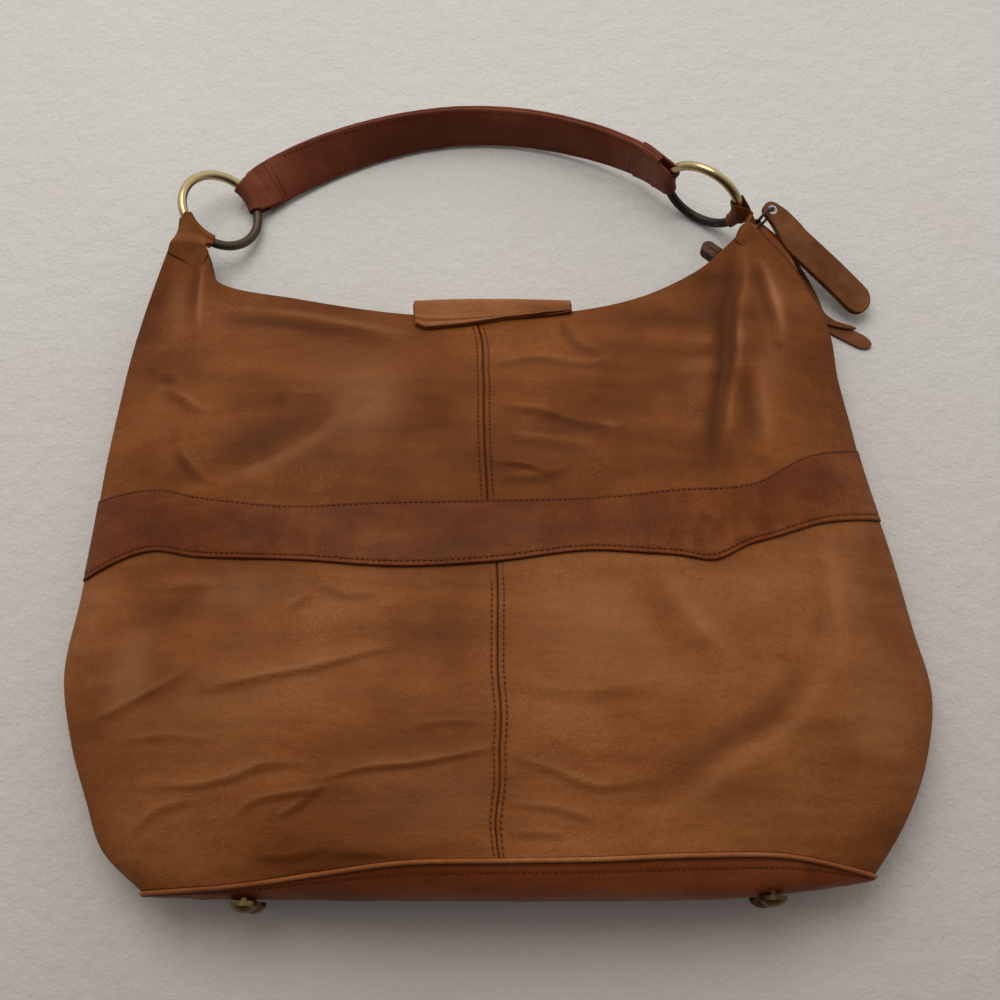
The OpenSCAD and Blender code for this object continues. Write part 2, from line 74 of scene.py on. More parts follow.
LEFT_SEAM = [[-0.763, 0, 0.43], [-0.857, 0.05, 0.41], [-0.908, 0.115, 0.38], [-0.962, 0.195, 0.34],
             [-1, 0.29, 0.3], [-0.988, 0.4, 0.26], [-0.976, 0.512, 0.25], [-0.967, 0.61, 0.25],
             [-0.953, 0.7, 0.25], [-0.936, 0.78, 0.27], [-0.913, 0.85, 0.3], [-0.883, 0.915, 0.36],
             [-0.851, 0.972, 0.44]]
RIGHT_SEAM = [[0.802, 0.021, 0.43], [0.88, 0.085, 0.41], [0.947, 0.165, 0.36], [0.984, 0.26, 0.31],
              [0.963, 0.355, 0.27], [0.935, 0.465, 0.25], [0.893, 0.59, 0.24], [0.872, 0.675, 0.24],
              [0.853, 0.75, 0.25], [0.845, 0.82, 0.27], [0.812, 0.885, 0.3], [0.748, 0.95, 0.35],
              [0.655, 1.015, 0.4]]
BASE_SEAM = [[-0.763, 0], [-0.565, 0.007], [-0.377, 0.021], [-0.188, 0.034], [0.005, 0.036],
             [0.198, 0.038], [0.396, 0.043], [0.6, 0.043], [0.802, 0.021]]
MOUTH_EDGE = [[-0.851, 0.972], [-0.765, 0.966], [-0.714, 0.899], [-0.512, 0.871], [-0.27, 0.847],
              [-0.053, 0.839], [0.164, 0.848], [0.348, 0.873], [0.5, 0.92], [0.593, 0.972], [0.655, 1.015]]
SPINE = [1, 0.99, 0.97, 0.93, 0.86, 0.77, 0.66, 0.54]


# ---------------------------------------------------------------- the lofted surface
def mix(a, b, f):
    return a + (b - a) * f


def ease(f):
    c = np.clip(f, 0, 1)
    return c * c * (3 - 2 * c)


def bell(x, middle, spread):
    return np.exp(-(((x - middle) / spread) ** 2))


def unit(v):
    v = np.asarray(v, float)
    return v / np.maximum(np.linalg.norm(v, axis=-1, keepdims=True), 1e-9)


def paired(a, b):
    """Two numbers or arrays, as arrays of one shape."""
    return np.broadcast_arrays(np.asarray(a, float), np.asarray(b, float))


def curve(stations, f):
    """Smooth curve through the stations, at f from 0 to 1."""
    p = np.asarray(stations, float)
    f = np.asarray(f, float)
    n = len(p) - 1
    i = np.clip(np.floor(f * n).astype(int), 0, n - 1)
    t = f * n - i
    t = t.reshape(t.shape + (1,) * (p.ndim - 1))
    a, b, c, d = (p[np.clip(i + k, 0, n)] for k in (-1, 0, 1, 2))
    return 0.5 * (2 * b + (c - a) * t + (2 * a - 5 * b + 4 * c - d) * t * t + (3 * b - a - 3 * c + d) * t**3)


def plan(u, v):
    u, v = paired(u, v)
    s = (u + 1) / 2
    s1, v1 = s[..., None], v[..., None]
    low, top = curve(BASE_SEAM, s), curve(MOUTH_EDGE, s)
    sides = mix(curve(LEFT_SEAM, v)[..., :2], curve(RIGHT_SEAM, v)[..., :2], s1)
    base, mouth = np.array(BASE_SEAM), np.array(MOUTH_EDGE)
    corners = mix(mix(base[0], base[-1], s1), mix(mouth[0], mouth[-1], s1), v1)
    p = mix(low, top, v1) + sides - corners
    return p[..., 0] * HALF_W, BASE_Y + p[..., 1] * BODY_H


def seam_z(u, v):
    return BODY_T * mix(curve(LEFT_SEAM, v)[..., 2], curve(RIGHT_SEAM, v)[..., 2], (u + 1) / 2)


def shut_at(v):
    return 1 - PEAK_SHUT * ease((v - 0.8) / 0.2)


def back_z(u, v):
    u, v = paired(u, v)
    m = seam_z(u, v) + HALF_SEAM
    w = np.minimum(1, np.abs(u) / shut_at(v)) ** (2.4 + 0.8 * (1 - v))
    spine = curve([k * BODY_T for k in SPINE] + [MOUTH_Z], v)
    slump = BASE_SLUMP * bell(u, -0.62, 0.24) * (1 - v) ** 7
    return mix(spine, m, w) - slump * (1 - w)


def front_z(u, v):
    u, v = paired(u, v)
    m = seam_z(u, v) - HALF_SEAM
    w = np.minimum(1, np.abs(u) / shut_at(v)) ** 5
    tab_lift = 5 * (1 - ease((np.abs(u - 0.03) - 0.24) / 0.22)) * ease((v - 0.52) / 0.16)
    base_rise = PIPING * 0.7 * np.maximum(0, 1 - v / 0.1) ** 2
    return mix(FLOOR_Z + tab_lift + base_rise, m, w)


BASE_FACE = BASE_Y + BODY_H * 0.036 - LEATHER - SEWN - BASE_BULGE


def base_at(u, w, depth=0.0):
    u, w = paired(u, w)
    x, y = plan(u, 0 * u)
    edge = y - LEATHER - SEWN
    out = (edge - BASE_FACE) * (1 - np.abs(u) ** 6) * (1 - np.abs(2 * w - 1) ** 4)
    z = mix(back_z(u, 0 * u), front_z(u, 0 * u), w)
    return np.stack([x, edge - out + depth, z], -1)


# ---------------------------------------------------------------- where the rings hang
def turned(v, r):
    """A direction turned about X, then Y, then Z, by angles in degrees."""
    v = np.array(v, float)
    for axis, angle in enumerate(np.radians(r)):
        c, s = np.cos(angle), np.sin(angle)
        j, k = (axis + 1) % 3, (axis + 2) % 3
        v[..., j], v[..., k] = v[..., j] * c - v[..., k] * s, v[..., j] * s + v[..., k] * c
    return v


def spoke(angle, turn):
    a = np.radians(np.asarray(angle, float))
    return turned(np.stack([np.cos(a), np.sin(a), 0 * a], -1), turn)


def peak(u):
    x, y = plan(u, 1.0)
    return np.array([x, y + BEAD + 0.3, seam_z(u, 1.0)])


LEFT_TURN, RIGHT_TURN = (0, 32, 0), (90, 0, -31)
TAB_LEFT, TAB_RIGHT, STRAP_LEFT, STRAP_RIGHT = 235, 0, 42, 180
ROOT_R = RING_R + FOLD_OUT + BEAD
left_root, right_root = peak(-0.9), peak(1.0)
LEFT_RING = left_root - ROOT_R * spoke(TAB_LEFT, LEFT_TURN)
RIGHT_RING = right_root - ROOT_R * spoke(TAB_RIGHT, RIGHT_TURN)


# ---------------------------------------------------------------- folds, dents, and the leather's tone with painted shade and highlight
RANDOM = np.random.RandomState(11)
LATTICE = RANDOM.rand(64, 64)


def noise(x, y, shift=0):
    """Smooth random field from 0 to 1 with one feature to each unit of x and y."""
    x, y = np.asarray(x, float) + 17.3 * shift, np.asarray(y, float) + 9.7 * shift
    i, j = np.floor(x).astype(int), np.floor(y).astype(int)
    fx, fy = ease(x - i), ease(y - j)
    a, b = LATTICE[i % 64, j % 64], LATTICE[(i + 1) % 64, j % 64]
    c, d = LATTICE[i % 64, (j + 1) % 64], LATTICE[(i + 1) % 64, (j + 1) % 64]
    return mix(mix(a, b, fx), mix(c, d, fx), fy)


# Each fold: stations in u and v, then its half width and depth in millimetres. The stations, like the seams
# above and the band's edges below, were traced by eye and turned into u and v by a helper: see report.md.
FOLDS = [
    ([(-0.58, 0.307), (-0.46, 0.318), (-0.36, 0.326), (-0.26, 0.342), (-0.19, 0.352)], 2.6, 0.9),
    ([(-0.93, 0.268), (-0.85, 0.28), (-0.72, 0.306), (-0.62, 0.33)], 3.0, 0.6),
    ([(-0.86, 0.24), (-0.71, 0.245), (-0.6, 0.243)], 3.2, 0.5),
    ([(-0.84, 0.178), (-0.7, 0.178), (-0.59, 0.188), (-0.5, 0.203), (-0.4, 0.196)], 2.8, 0.8),
    ([(-0.4, 0.172), (-0.3, 0.186), (-0.2, 0.19), (-0.11, 0.2), (-0.02, 0.213)], 2.2, 0.9),
    ([(-0.9, 0.1), (-0.81, 0.143), (-0.68, 0.158)], 3.4, 0.6),
    ([(-0.63, 0.118), (-0.56, 0.148), (-0.48, 0.156), (-0.37, 0.16)], 2.8, 0.7),
    ([(-0.51, 0.12), (-0.45, 0.139), (-0.4, 0.163)], 3.0, 0.8),
    ([(-0.42, 0.395), (-0.36, 0.413)], 3.4, 0.5),
    ([(-0.34, 0.43), (-0.3, 0.415), (-0.22, 0.414)], 3.0, 0.6),
    ([(-0.2, 0.243), (-0.11, 0.25), (-0.03, 0.245)], 3.0, 0.4),
    ([(-0.42, 0.045), (-0.33, 0.031), (-0.2, 0.014)], 3.6, 0.9),
    ([(-0.74, 0.42), (-0.56, 0.43)], 3.4, 0.4),
    ([(-0.62, 0.06), (-0.52, 0.05), (-0.42, 0.06)], 4.0, 0.7),
    ([(0.7, 0.3), (0.68, 0.262), (0.6, 0.2), (0.5, 0.165), (0.42, 0.119), (0.35, 0.075)], 9.0, 0.8),
    ([(0.36, 0.425), (0.41, 0.37), (0.5, 0.3)], 10.0, 0.6),
    ([(0.78, 0.44), (0.77, 0.36), (0.74, 0.28)], 9.0, 0.5),
    ([(0.0, 0.202), (0.1, 0.175), (0.2, 0.146), (0.32, 0.15)], 3.0, 0.6),
    ([(0.03, 0.119), (0.12, 0.112), (0.22, 0.086)], 2.8, 0.6),
    ([(0.01, 0.069), (0.17, 0.061)], 3.0, 0.5),
    ([(0.04, 0.3), (0.16, 0.285), (0.3, 0.29)], 5.0, 0.4),
    ([(0.9, 0.985), (0.76, 0.935), (0.64, 0.87), (0.59, 0.78), (0.565, 0.66), (0.53, 0.56), (0.51, 0.52)],
     6.0, 2.6),
    ([(0.86, 0.94), (0.8, 0.861), (0.76, 0.77)], 5.0, 1.2),
    ([(0.66, 0.72), (0.67, 0.62), (0.66, 0.55)], 8.0, 0.9),
    ([(0.01, 0.728), (0.1, 0.712), (0.19, 0.676), (0.28, 0.656)], 3.2, 0.9),
    ([(-0.01, 0.845), (0.1, 0.866), (0.2, 0.836), (0.26, 0.852)], 3.4, 0.7),
    ([(0.015, 0.6), (0.08, 0.591), (0.13, 0.572)], 1.8, 1.2),
    ([(0.02, 0.575), (0.1, 0.572), (0.17, 0.585)], 4.0, 0.8),
    ([(0.2, 0.985), (0.2, 0.91), (0.25, 0.868)], 4.0, 0.6),
    ([(0.03, 0.66), (0.14, 0.64), (0.24, 0.62)], 5.0, 0.8),
    ([(-0.85, 0.714), (-0.74, 0.7)], 4.0, 0.7),
    ([(-0.84, 0.682), (-0.6, 0.68)], 4.4, 0.7),
    ([(-0.7, 0.6), (-0.64, 0.58), (-0.58, 0.56)], 4.0, 0.8),
    ([(-0.6, 0.925), (-0.46, 0.94), (-0.32, 0.938), (-0.17, 0.925)], 6.0, 1.0),
    ([(-0.97, 0.98), (-0.84, 0.945)], 1.6, 0.9),
    ([(-0.79, 0.97), (-0.76, 0.9), (-0.7, 0.83)], 4.0, 0.9),
    ([(-0.3, 0.68), (-0.42, 0.6), (-0.6, 0.55)], 12.0, 0.9),
]
# Each swelling: its middle in u and v, its spread across and along in millimetres, and its height
SWELLS = [
    (0.45, 0.775, 42, 7, 1.5), (0.3, 0.86, 40, 12, -1.2), (-0.3, 0.74, 26, 40, 1.4),
    (-0.45, 0.28, 60, 30, 1.2), (0.3, 0.24, 50, 34, 1.0), (0.72, 0.8, 9, 40, 1.2),
    (0.5, 0.66, 10, 30, 1.0), (0.82, 0.24, 18, 30, 1.0), (-0.75, 0.65, 22, 18, 1.0),
    (0.17, 0.38, 20, 20, 0.9), (-0.1, 0.12, 40, 20, 0.7), (0.55, 0.39, 26, 16, 0.9),
    (-0.1, 0.58, 40, 20, -0.9), (-0.86, 0.86, 8, 34, 1.0),
]

# Darker and paler patches of painted shade and painted highlight: middle in u and v, spread across and along
# in millimetres, and strength
SHADE_AND_HIGHLIGHT_PATCHES = [
    (0.42, 0.93, 26, 7, -0.9), (0.6, 0.9, 12, 9, -0.8), (0.5, 0.84, 22, 5, 0.5),
    (0.33, 0.8, 20, 10, -0.4), (0.56, 0.79, 5, 22, -1.1), (0.52, 0.6, 5, 22, -1.0),
    (0.69, 0.85, 4, 18, -0.7), (0.8, 0.86, 6, 14, 0.5), (0.16, 0.67, 14, 8, -0.8),
    (0.12, 0.59, 12, 5, -0.6), (0.3, 0.7, 14, 10, -0.5), (0.26, 0.66, 5, 6, 0.5),
    (-0.75, 0.84, 10, 12, 0.4), (-0.5, 0.9, 30, 8, -0.4), (-0.8, 0.72, 20, 14, -0.5),
    (-0.45, 0.66, 26, 16, -0.3), (-0.25, 0.72, 16, 24, 0.4), (-0.5, 0.42, 24, 10, 0.5),
    (-0.8, 0.32, 10, 20, 0.6), (-0.35, 0.24, 30, 12, -0.4), (0.35, 0.2, 40, 22, -0.3),
    (0.3, 0.36, 36, 14, 0.4), (0.75, 0.38, 16, 18, 0.3), (0.6, 0.08, 26, 8, 0.2),
    (-0.3, 0.02, 40, 5, -1.0), (-0.6, 0.01, 30, 4, -0.7),
]


def near_line(x, y, line):
    """Distance from each point to a line, positive on its left, and where along it the nearest place is."""
    best = np.full(x.shape, 1e9)
    along = np.zeros(x.shape)
    side = np.ones(x.shape)
    spans = np.linalg.norm(np.diff(line, axis=0), axis=1)
    start = np.concatenate([[0], np.cumsum(spans)])
    for k in range(len(line) - 1):
        a, d = line[k], line[k + 1] - line[k]
        f = np.clip(((x - a[0]) * d[0] + (y - a[1]) * d[1]) / max(spans[k] ** 2, 1e-6), 0, 1)
        r = np.hypot(x - a[0] - f * d[0], y - a[1] - f * d[1])
        along = np.where(r < best, (start[k] + f * spans[k]) / start[-1], along)
        side = np.where(r < best, np.sign(d[0] * (y - a[1]) - d[1] * (x - a[0])), side)
        best = np.minimum(best, r)
    return best * side, along


FOLD_LINES = []
for stations, width, depth in FOLDS:
    uv = curve(stations, np.linspace(0, 1, 4 * len(stations)))
    FOLD_LINES.append((np.stack(plan(uv[:, 0], uv[:, 1]), -1), width, depth))


def relief(x, y):
    """Height of the folds above the lofted back, and the painted shade and highlight they put on the leather.
    """
    lift = 1.1 * (noise(x / 62, y / 50, 1) - 0.5) + 0.5 * (noise(x / 23, y / 15, 2) - 0.5)
    lift = lift + 0.16 * (noise(x / 7, y / 4.5, 3) - 0.5)
    tone = np.zeros(x.shape)
    for line, width, depth in FOLD_LINES:
        pad = 4 * width
        (x0, y0), (x1, y1) = line.min(0) - pad, line.max(0) + pad
        here = (x > x0) & (x < x1) & (y > y0) & (y < y1)
        if not here.any():
            continue
        r, along = near_line(x[here], y[here], line)
        taper = np.sin(np.pi * np.clip(along, 0.02, 0.98)) ** 0.6
        crest = np.where(r > 0, bell(r, 0, 1.5 * width), bell(r, 0, 0.45 * width))
        valley = bell(r, -1.1 * width, 0.6 * width)
        lift[here] += depth * taper * (0.8 * crest - 0.6 * valley)
        # painted highlight on each fold's crest and painted shade in its valley
        marks = 0.75 * bell(r, 0.2, 0.45 * width) - 1.2 * bell(r, -width, 0.75 * width)
        tone[here] += min(1.2, depth) * taper * marks
    for u, v, wide, tall, height in SWELLS:
        cx, cy = plan(u, v)
        b = bell(x, cx, wide) * bell(y, cy, tall)
        lift = lift + height * b
        # a swelling is painted lighter where it rises and darker where it sinks: painted highlight and shade
        tone = tone + 0.3 * height * b
    # patches of painted shade and painted highlight
    for u, v, wide, tall, painted_tone in SHADE_AND_HIGHLIGHT_PATCHES:
        cx, cy = plan(u, v)
        ragged = 0.75 + 0.5 * noise(x / 9, y / 6, 23)
        tone = tone + painted_tone * ragged * bell(x, cx, wide) * bell(y, cy, tall)
    return lift, tone


# ---------------------------------------------------------------- mesh helpers
def placed(name, data):
    """New object in the scene."""
    obj = bpy.data.objects.new(name, data)
    bpy.context.collection.objects.link(obj)
    return obj


def outward_mesh(name, points, faces):
    """New mesh from points in millimetres, its faces turned outwards."""
    mesh = bpy.data.meshes.new(name)
    corners = np.asarray(points, float).reshape(-1, 3) * MM
    mesh.from_pydata(corners.tolist(), [], [list(map(int, f)) for f in faces])
    bm = bmesh.new()
    bm.from_mesh(mesh)
    bmesh.ops.recalc_face_normals(bm, faces=bm.faces)
    bm.to_mesh(mesh)
    bm.free()
    return mesh


def piece(name, points, faces, material, slot, shade=None, sharp=None):
    """New object from points in millimetres, with its material. The slot is not used."""
    mesh = outward_mesh(name, points, faces)
    mesh.shade_smooth()
    if sharp:
        mesh.set_sharp_from_angle(angle=math.radians(sharp))
    if shade is not None:
        tone = mesh.attributes.new("shade", "FLOAT", "POINT")
        tone.data.foreach_set("value", np.asarray(shade, float).ravel())
    obj = placed(name, mesh)
    mesh.materials.append(material)
    return obj


def quads(index):
    """Faces between neighbouring entries of a grid of indices."""
    return np.stack([index[:-1, :-1], index[:-1, 1:], index[1:, 1:], index[1:, :-1]], -1).reshape(-1, 4)


RIM_SHADE = -1.3  # painted shade along a turned edge


def sheet_mesh(face, into, thick, rows, cols, shade):
    """Closed leather with rolled rims: its face is a grid of points, and it is thick along into."""
    half = thick / 2
    edge_r = np.minimum(rows - rows[0], rows[-1] - rows)[:, None]
    edge_c = np.minimum(cols - cols[0], cols[-1] - cols)[None, :]
    inset = np.clip(1 - np.minimum(edge_r, edge_c) / half, 0, 1)
    drop = (half * (1 - np.sqrt(1 - inset**2)))[..., None]
    into = np.broadcast_to(np.asarray(into, float), face.shape)
    outer, inner = face + into * drop, face + into * (thick - drop)
    n = face.shape[0] * face.shape[1]
    upper = np.arange(n).reshape(face.shape[:2])
    lower = upper.copy()
    lower[1:-1, 1:-1] = n + np.arange((face.shape[0] - 2) * (face.shape[1] - 2)).reshape(face.shape[0] - 2, -1)
    points = np.concatenate([outer.reshape(-1, 3), inner[1:-1, 1:-1].reshape(-1, 3)])
    faces = np.concatenate([quads(upper), quads(lower)[:, ::-1]])
    # the rims get painted shade, darker than the sheet's own tone
    wear_and_painted_light = shade + RIM_SHADE * inset
    return points, faces, np.concatenate([wear_and_painted_light.ravel(), shade[1:-1, 1:-1].ravel()])


def ticks(length, step, lines=(), rim=1.0):
    """Stations along a length, closer at both ends and round the named lines."""
    n = max(2, round(length / step))
    marks = list(np.linspace(0, length, n + 1))
    for r in (0.08, 0.3, 0.65, 1.0, 1.6):
        marks += [r * rim, length - r * rim]
    for line in lines:
        marks = [m for m in marks if abs(m - line) > 0.9 or m in (0, length)]
        marks += [line - 0.9, line - 0.45, line, line + 0.45, line + 0.9]
    marks = sorted(m for m in marks if 0 <= m <= length)
    kept = [marks[0]]
    for m in marks[1:]:
        if m - kept[-1] > 0.05:
            kept.append(m)
    kept[-1] = length
    return np.array(kept)


def running_length(grid):
    """Mean distance along a grid of points, at each of its rows."""
    return np.concatenate([[0], np.cumsum(np.linalg.norm(np.diff(grid, axis=0), axis=-1).mean(-1))])


def normals(grid):
    a, b = np.gradient(grid, axis=0), np.gradient(grid, axis=1)
    return unit(np.cross(b, a))


def section(width, thick, corner=0.8, sides=4):
    """Outline of a rounded strip, centred, as points across and up."""
    c = min(corner, thick / 2, width / 2)
    points = []
    for sx, sy, start in ((1, -1, -90), (1, 1, 0), (-1, 1, 90), (-1, -1, 180)):
        for k in range(sides + 1):
            a = math.radians(start + 90 * k / sides)
            points.append((sx * (width / 2 - c) + c * math.cos(a), sy * (thick / 2 - c) + c * math.sin(a)))
    return np.array(points)


def sweep_mesh(path, across, up, outlines):
    """Closed solid swept along a path, with a rounded outline at each station."""
    rings = path[:, None] + outlines[..., 0:1] * across[:, None] + outlines[..., 1:2] * up[:, None]
    m, n = rings.shape[:2]
    index = np.arange(m * n).reshape(m, n)
    index = np.concatenate([index, index[:, :1]], 1)
    faces = [list(f) for f in quads(index)]
    faces += [[int(k) for k in index[0, :-1]], [int(k) for k in index[-1, :-1][::-1]]]
    return rings.reshape(-1, 3), faces


def frame_along(path, side):
    """Directions across and up at each point of a path, with across kept near the given side."""
    along = unit(np.gradient(path, axis=0))
    across = unit(side - (side * along).sum(-1, keepdims=True) * along)
    return across, np.cross(along, across)


STITCHES = []


STITCH_PITCH, STITCH_LEN, THREAD_R, THREAD_LIFT = 2.6, 1.6, 0.27, 0.02


def stitch(line, up):
    """Row of thread along a line of points; up is the way out of the leather at each."""
    line = np.asarray(line, float)
    up = np.broadcast_to(unit(up), line.shape)
    span = np.concatenate([[0], np.cumsum(np.linalg.norm(np.diff(line, axis=0), axis=1))])

    def between(values, d):
        return np.array([np.interp(d, span, values[:, a]) for a in range(3)])

    for d in np.arange(STITCH_PITCH / 2, span[-1] - STITCH_PITCH / 2, STITCH_PITCH):
        n = unit(between(up, d))
        a, b = (between(line, d + way * STITCH_LEN / 2) + THREAD_LIFT * n for way in (-1, 1))
        STITCHES.append((a, b, n))


def thread_mesh(stitches):
    """One mesh of small rounded threads."""
    points, faces = [], []
    around = np.linspace(0, 2 * np.pi, 6, endpoint=False)
    for a, b, n in stitches:
        d = unit(b - a)
        side = np.cross(d, n)
        size = np.linalg.norm(b - a)
        first = len(points) * 6
        for f, r, dip in ((0, 0.35, -0.5), (0.2, 0.9, 0), (0.8, 0.9, 0), (1, 0.35, -0.5)):
            middle = a + d * size * f + n * dip * THREAD_R
            spokes = np.cos(around)[:, None] * side + np.sin(around)[:, None] * n
            points.append(middle + THREAD_R * r * spokes)
        for k in range(3):
            for j in range(6):
                p = first + k * 6
                faces.append([p + j, p + (j + 1) % 6, p + 6 + (j + 1) % 6, p + 6 + j])
        faces += [[first + 5 - j for j in range(6)], [first + 18 + j for j in range(6)]]
    return np.concatenate(points), faces


def threads(name, material, slot, body="bag"):
    """Make the rows of thread gathered so far into one piece."""
    points, faces = thread_mesh(STITCHES)
    points[:, 2] = np.maximum(points[:, 2], 0.02)  # pressed flat where the bag lies on them
    STITCHES.clear()
    obj = piece(name, points, faces, material, slot)
    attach(obj, body)
    return obj


# ---------------------------------------------------------------- materials
def srgb(r, g, b):
    """Colour written as 0 to 255 in sRGB, as linear numbers."""
    c = [v / 255 for v in (r, g, b)]
    return tuple(v / 12.92 if v <= 0.04045 else ((v + 0.055) / 1.055) ** 2.4 for v in c) + (1,)


class Nodes:
    """Short way to wire a node material."""

    def __init__(self, name):
        self.material = bpy.data.materials.new(name)
        self.material.use_nodes = True
        self.tree = self.material.node_tree
        self.shader = self.tree.nodes["Principled BSDF"]
        self.place = self.add("ShaderNodeTexCoord").outputs["Object"]

    def add(self, kind, **values):
        node = self.tree.nodes.new(kind)
        for key, value in values.items():
            setattr(node, key, value)
        return node

    def link(self, a, b):
        self.tree.links.new(a, b)

    def stretched(self, scale, turn=0):
        node = self.add("ShaderNodeMapping")
        node.inputs["Scale"].default_value = scale
        node.inputs["Rotation"].default_value = (0, 0, math.radians(turn))
        self.link(self.place, node.inputs["Vector"])
        return node.outputs["Vector"]

    def noise(self, scale, detail=3, rough=0.5, vector=None):
        node = self.add("ShaderNodeTexNoise")
        node.inputs["Scale"].default_value = scale
        node.inputs["Detail"].default_value = detail
        node.inputs["Roughness"].default_value = rough
        self.link(vector or self.place, node.inputs["Vector"])
        return node.outputs["Fac"]

    def cells(self, scale):
        node = self.add("ShaderNodeTexVoronoi", feature="F1")
        node.inputs["Scale"].default_value = scale
        self.link(self.place, node.inputs["Vector"])
        return node.outputs["Distance"]

    def shade(self):
        """The tone stored in the mesh: below 0 in valleys and at rims, where it paints shade, above 0 on
        ridges, where it paints a highlight.
        """
        return self.add("ShaderNodeAttribute", attribute_name="shade").outputs["Fac"]

    def ramp(self, fac, stops):
        node = self.add("ShaderNodeValToRGB")
        ramp = node.color_ramp
        while len(ramp.elements) < len(stops):
            ramp.elements.new(0.5)
        for element, (at, colour) in zip(ramp.elements, stops):
            element.position, element.color = at, colour
        self.link(fac, node.inputs["Fac"])
        return node.outputs["Color"]

    def remap(self, fac, low, high, to_low=0.0, to_high=1.0):
        node = self.add("ShaderNodeMapRange")
        for key, value in (("From Min", low), ("From Max", high), ("To Min", to_low), ("To Max", to_high)):
            node.inputs[key].default_value = value
        self.link(fac, node.inputs["Value"])
        return node.outputs["Result"]

    def math(self, operation, a, b):
        node = self.add("ShaderNodeMath", operation=operation)
        for k, value in enumerate((a, b)):
            if isinstance(value, (int, float)):
                node.inputs[k].default_value = value
            else:
                self.link(value, node.inputs[k])
        return node.outputs["Value"]

    def blend(self, fac, a, b, mode="MIX"):
        node = self.add("ShaderNodeMix", data_type="RGBA", blend_type=mode)
        for key, value in ((0, fac), (6, a), (7, b)):
            if isinstance(value, (int, float, tuple)):
                node.inputs[key].default_value = value
            else:
                self.link(value, node.inputs[key])
        return node.outputs[2]

    def bump(self, height, distance, strength=1.0, after=None):
        node = self.add("ShaderNodeBump")
        node.inputs["Distance"].default_value = distance
        node.inputs["Strength"].default_value = strength
        self.link(height, node.inputs["Height"])
        if after:
            self.link(after, node.inputs["Normal"])
        return node.outputs["Normal"]

    def finish(self, colour, rough, normal=None, **fixed):
        for key, value in (("Base Color", colour), ("Roughness", rough), ("Normal", normal)):
            if value is None:
                continue
            if isinstance(value, (int, float, tuple)):
                self.shader.inputs[key].default_value = value
            else:
                self.link(value, self.shader.inputs[key])
        for key, value in fixed.items():
            self.shader.inputs[key.replace("_", " ")].default_value = value
        return self.material


GRAIN, GRAIN_DEPTH = 1150, 0.00022  # pebbles to a metre, and their height in metres


def leather(name, dark, base, light, wear_and_painted_light, patch=13, rough=(0.42, 0.62), gloss=0.14):
    """Soft aniline leather: cloudy dye, worn flecks, painted shade in folds and at rims, painted highlight on
    ridges, pebbled grain and a waxy gloss in places.
    """
    dark, base, light, wear_and_painted_light = (srgb(*c) for c in (dark, base, light, wear_and_painted_light))
    n = Nodes(name)
    cloud = n.noise(patch, 5, 0.55)
    streak = n.noise(1, 4, 0.6, n.stretched((14, 70, 30), 14))
    fac = n.math("ADD", n.math("MULTIPLY", cloud, 0.66), n.math("MULTIPLY", streak, 0.34))
    colour = n.ramp(fac, [(0.34, dark), (0.5, base), (0.64, light)])
    mottle = n.noise(420, 4, 0.7)
    colour = n.blend(n.remap(mottle, 0.45, 0.7, 0, 0.3), colour, dark)
    specks = n.remap(n.noise(800, 3, 0.8), 0.56, 0.68)
    flecks = n.math("MULTIPLY", specks, n.remap(n.noise(19, 3, 0.6), 0.5, 0.66, 0.06, 0.5))
    colour = n.blend(flecks, colour, wear_and_painted_light)
    # the mesh's shade attribute paints shade into folds, grooves and rims, and a highlight onto ridges
    shade = n.shade()
    colour = n.blend(n.remap(shade, -0.05, -1.3, 0, 0.9), colour, dark)
    colour = n.blend(n.remap(shade, 0.05, 1.4, 0, 0.75), colour, wear_and_painted_light)
    pebble = n.cells(GRAIN)
    fine = n.noise(GRAIN * 0.32, 4, 0.65)
    height = n.math("ADD", n.math("MULTIPLY", pebble, 0.6), fine)
    normal = n.bump(height, GRAIN_DEPTH)
    normal = n.bump(n.noise(130, 3, 0.6), 0.0006, 0.5, normal)
    waxy = n.remap(n.noise(26, 4, 0.6), 0.35, 0.7, rough[1], rough[0])
    return n.finish(colour, waxy, normal, Specular_IOR_Level=gloss, Specular_Tint=(1.0, 0.72, 0.46, 1.0))


def cloth(name, colour, thread, pitch=0.9):
    """Plain woven cotton."""
    colour, thread = srgb(*colour), srgb(*thread)
    n = Nodes(name)
    waves = []
    for axis in ("X", "Y"):
        wave = n.add("ShaderNodeTexWave", bands_direction=axis)
        wave.inputs["Scale"].default_value = 1000 / pitch / 6.283 * 0.5
        wave.inputs["Distortion"].default_value = 0.6
        n.link(n.place, wave.inputs["Vector"])
        waves.append(wave.outputs["Fac"])
    weave = n.math("MULTIPLY", waves[0], waves[1])
    tint = n.blend(n.remap(n.noise(30), 0.3, 0.7), colour, thread)
    tint = n.blend(n.remap(weave, 0, 1, 0.35, 0), tint, thread)
    return n.finish(tint, 0.9, n.bump(weave, 0.0003), Specular_IOR_Level=0.1)


PATINA, SCRATCHES = 60, 500  # noise scales, to a metre


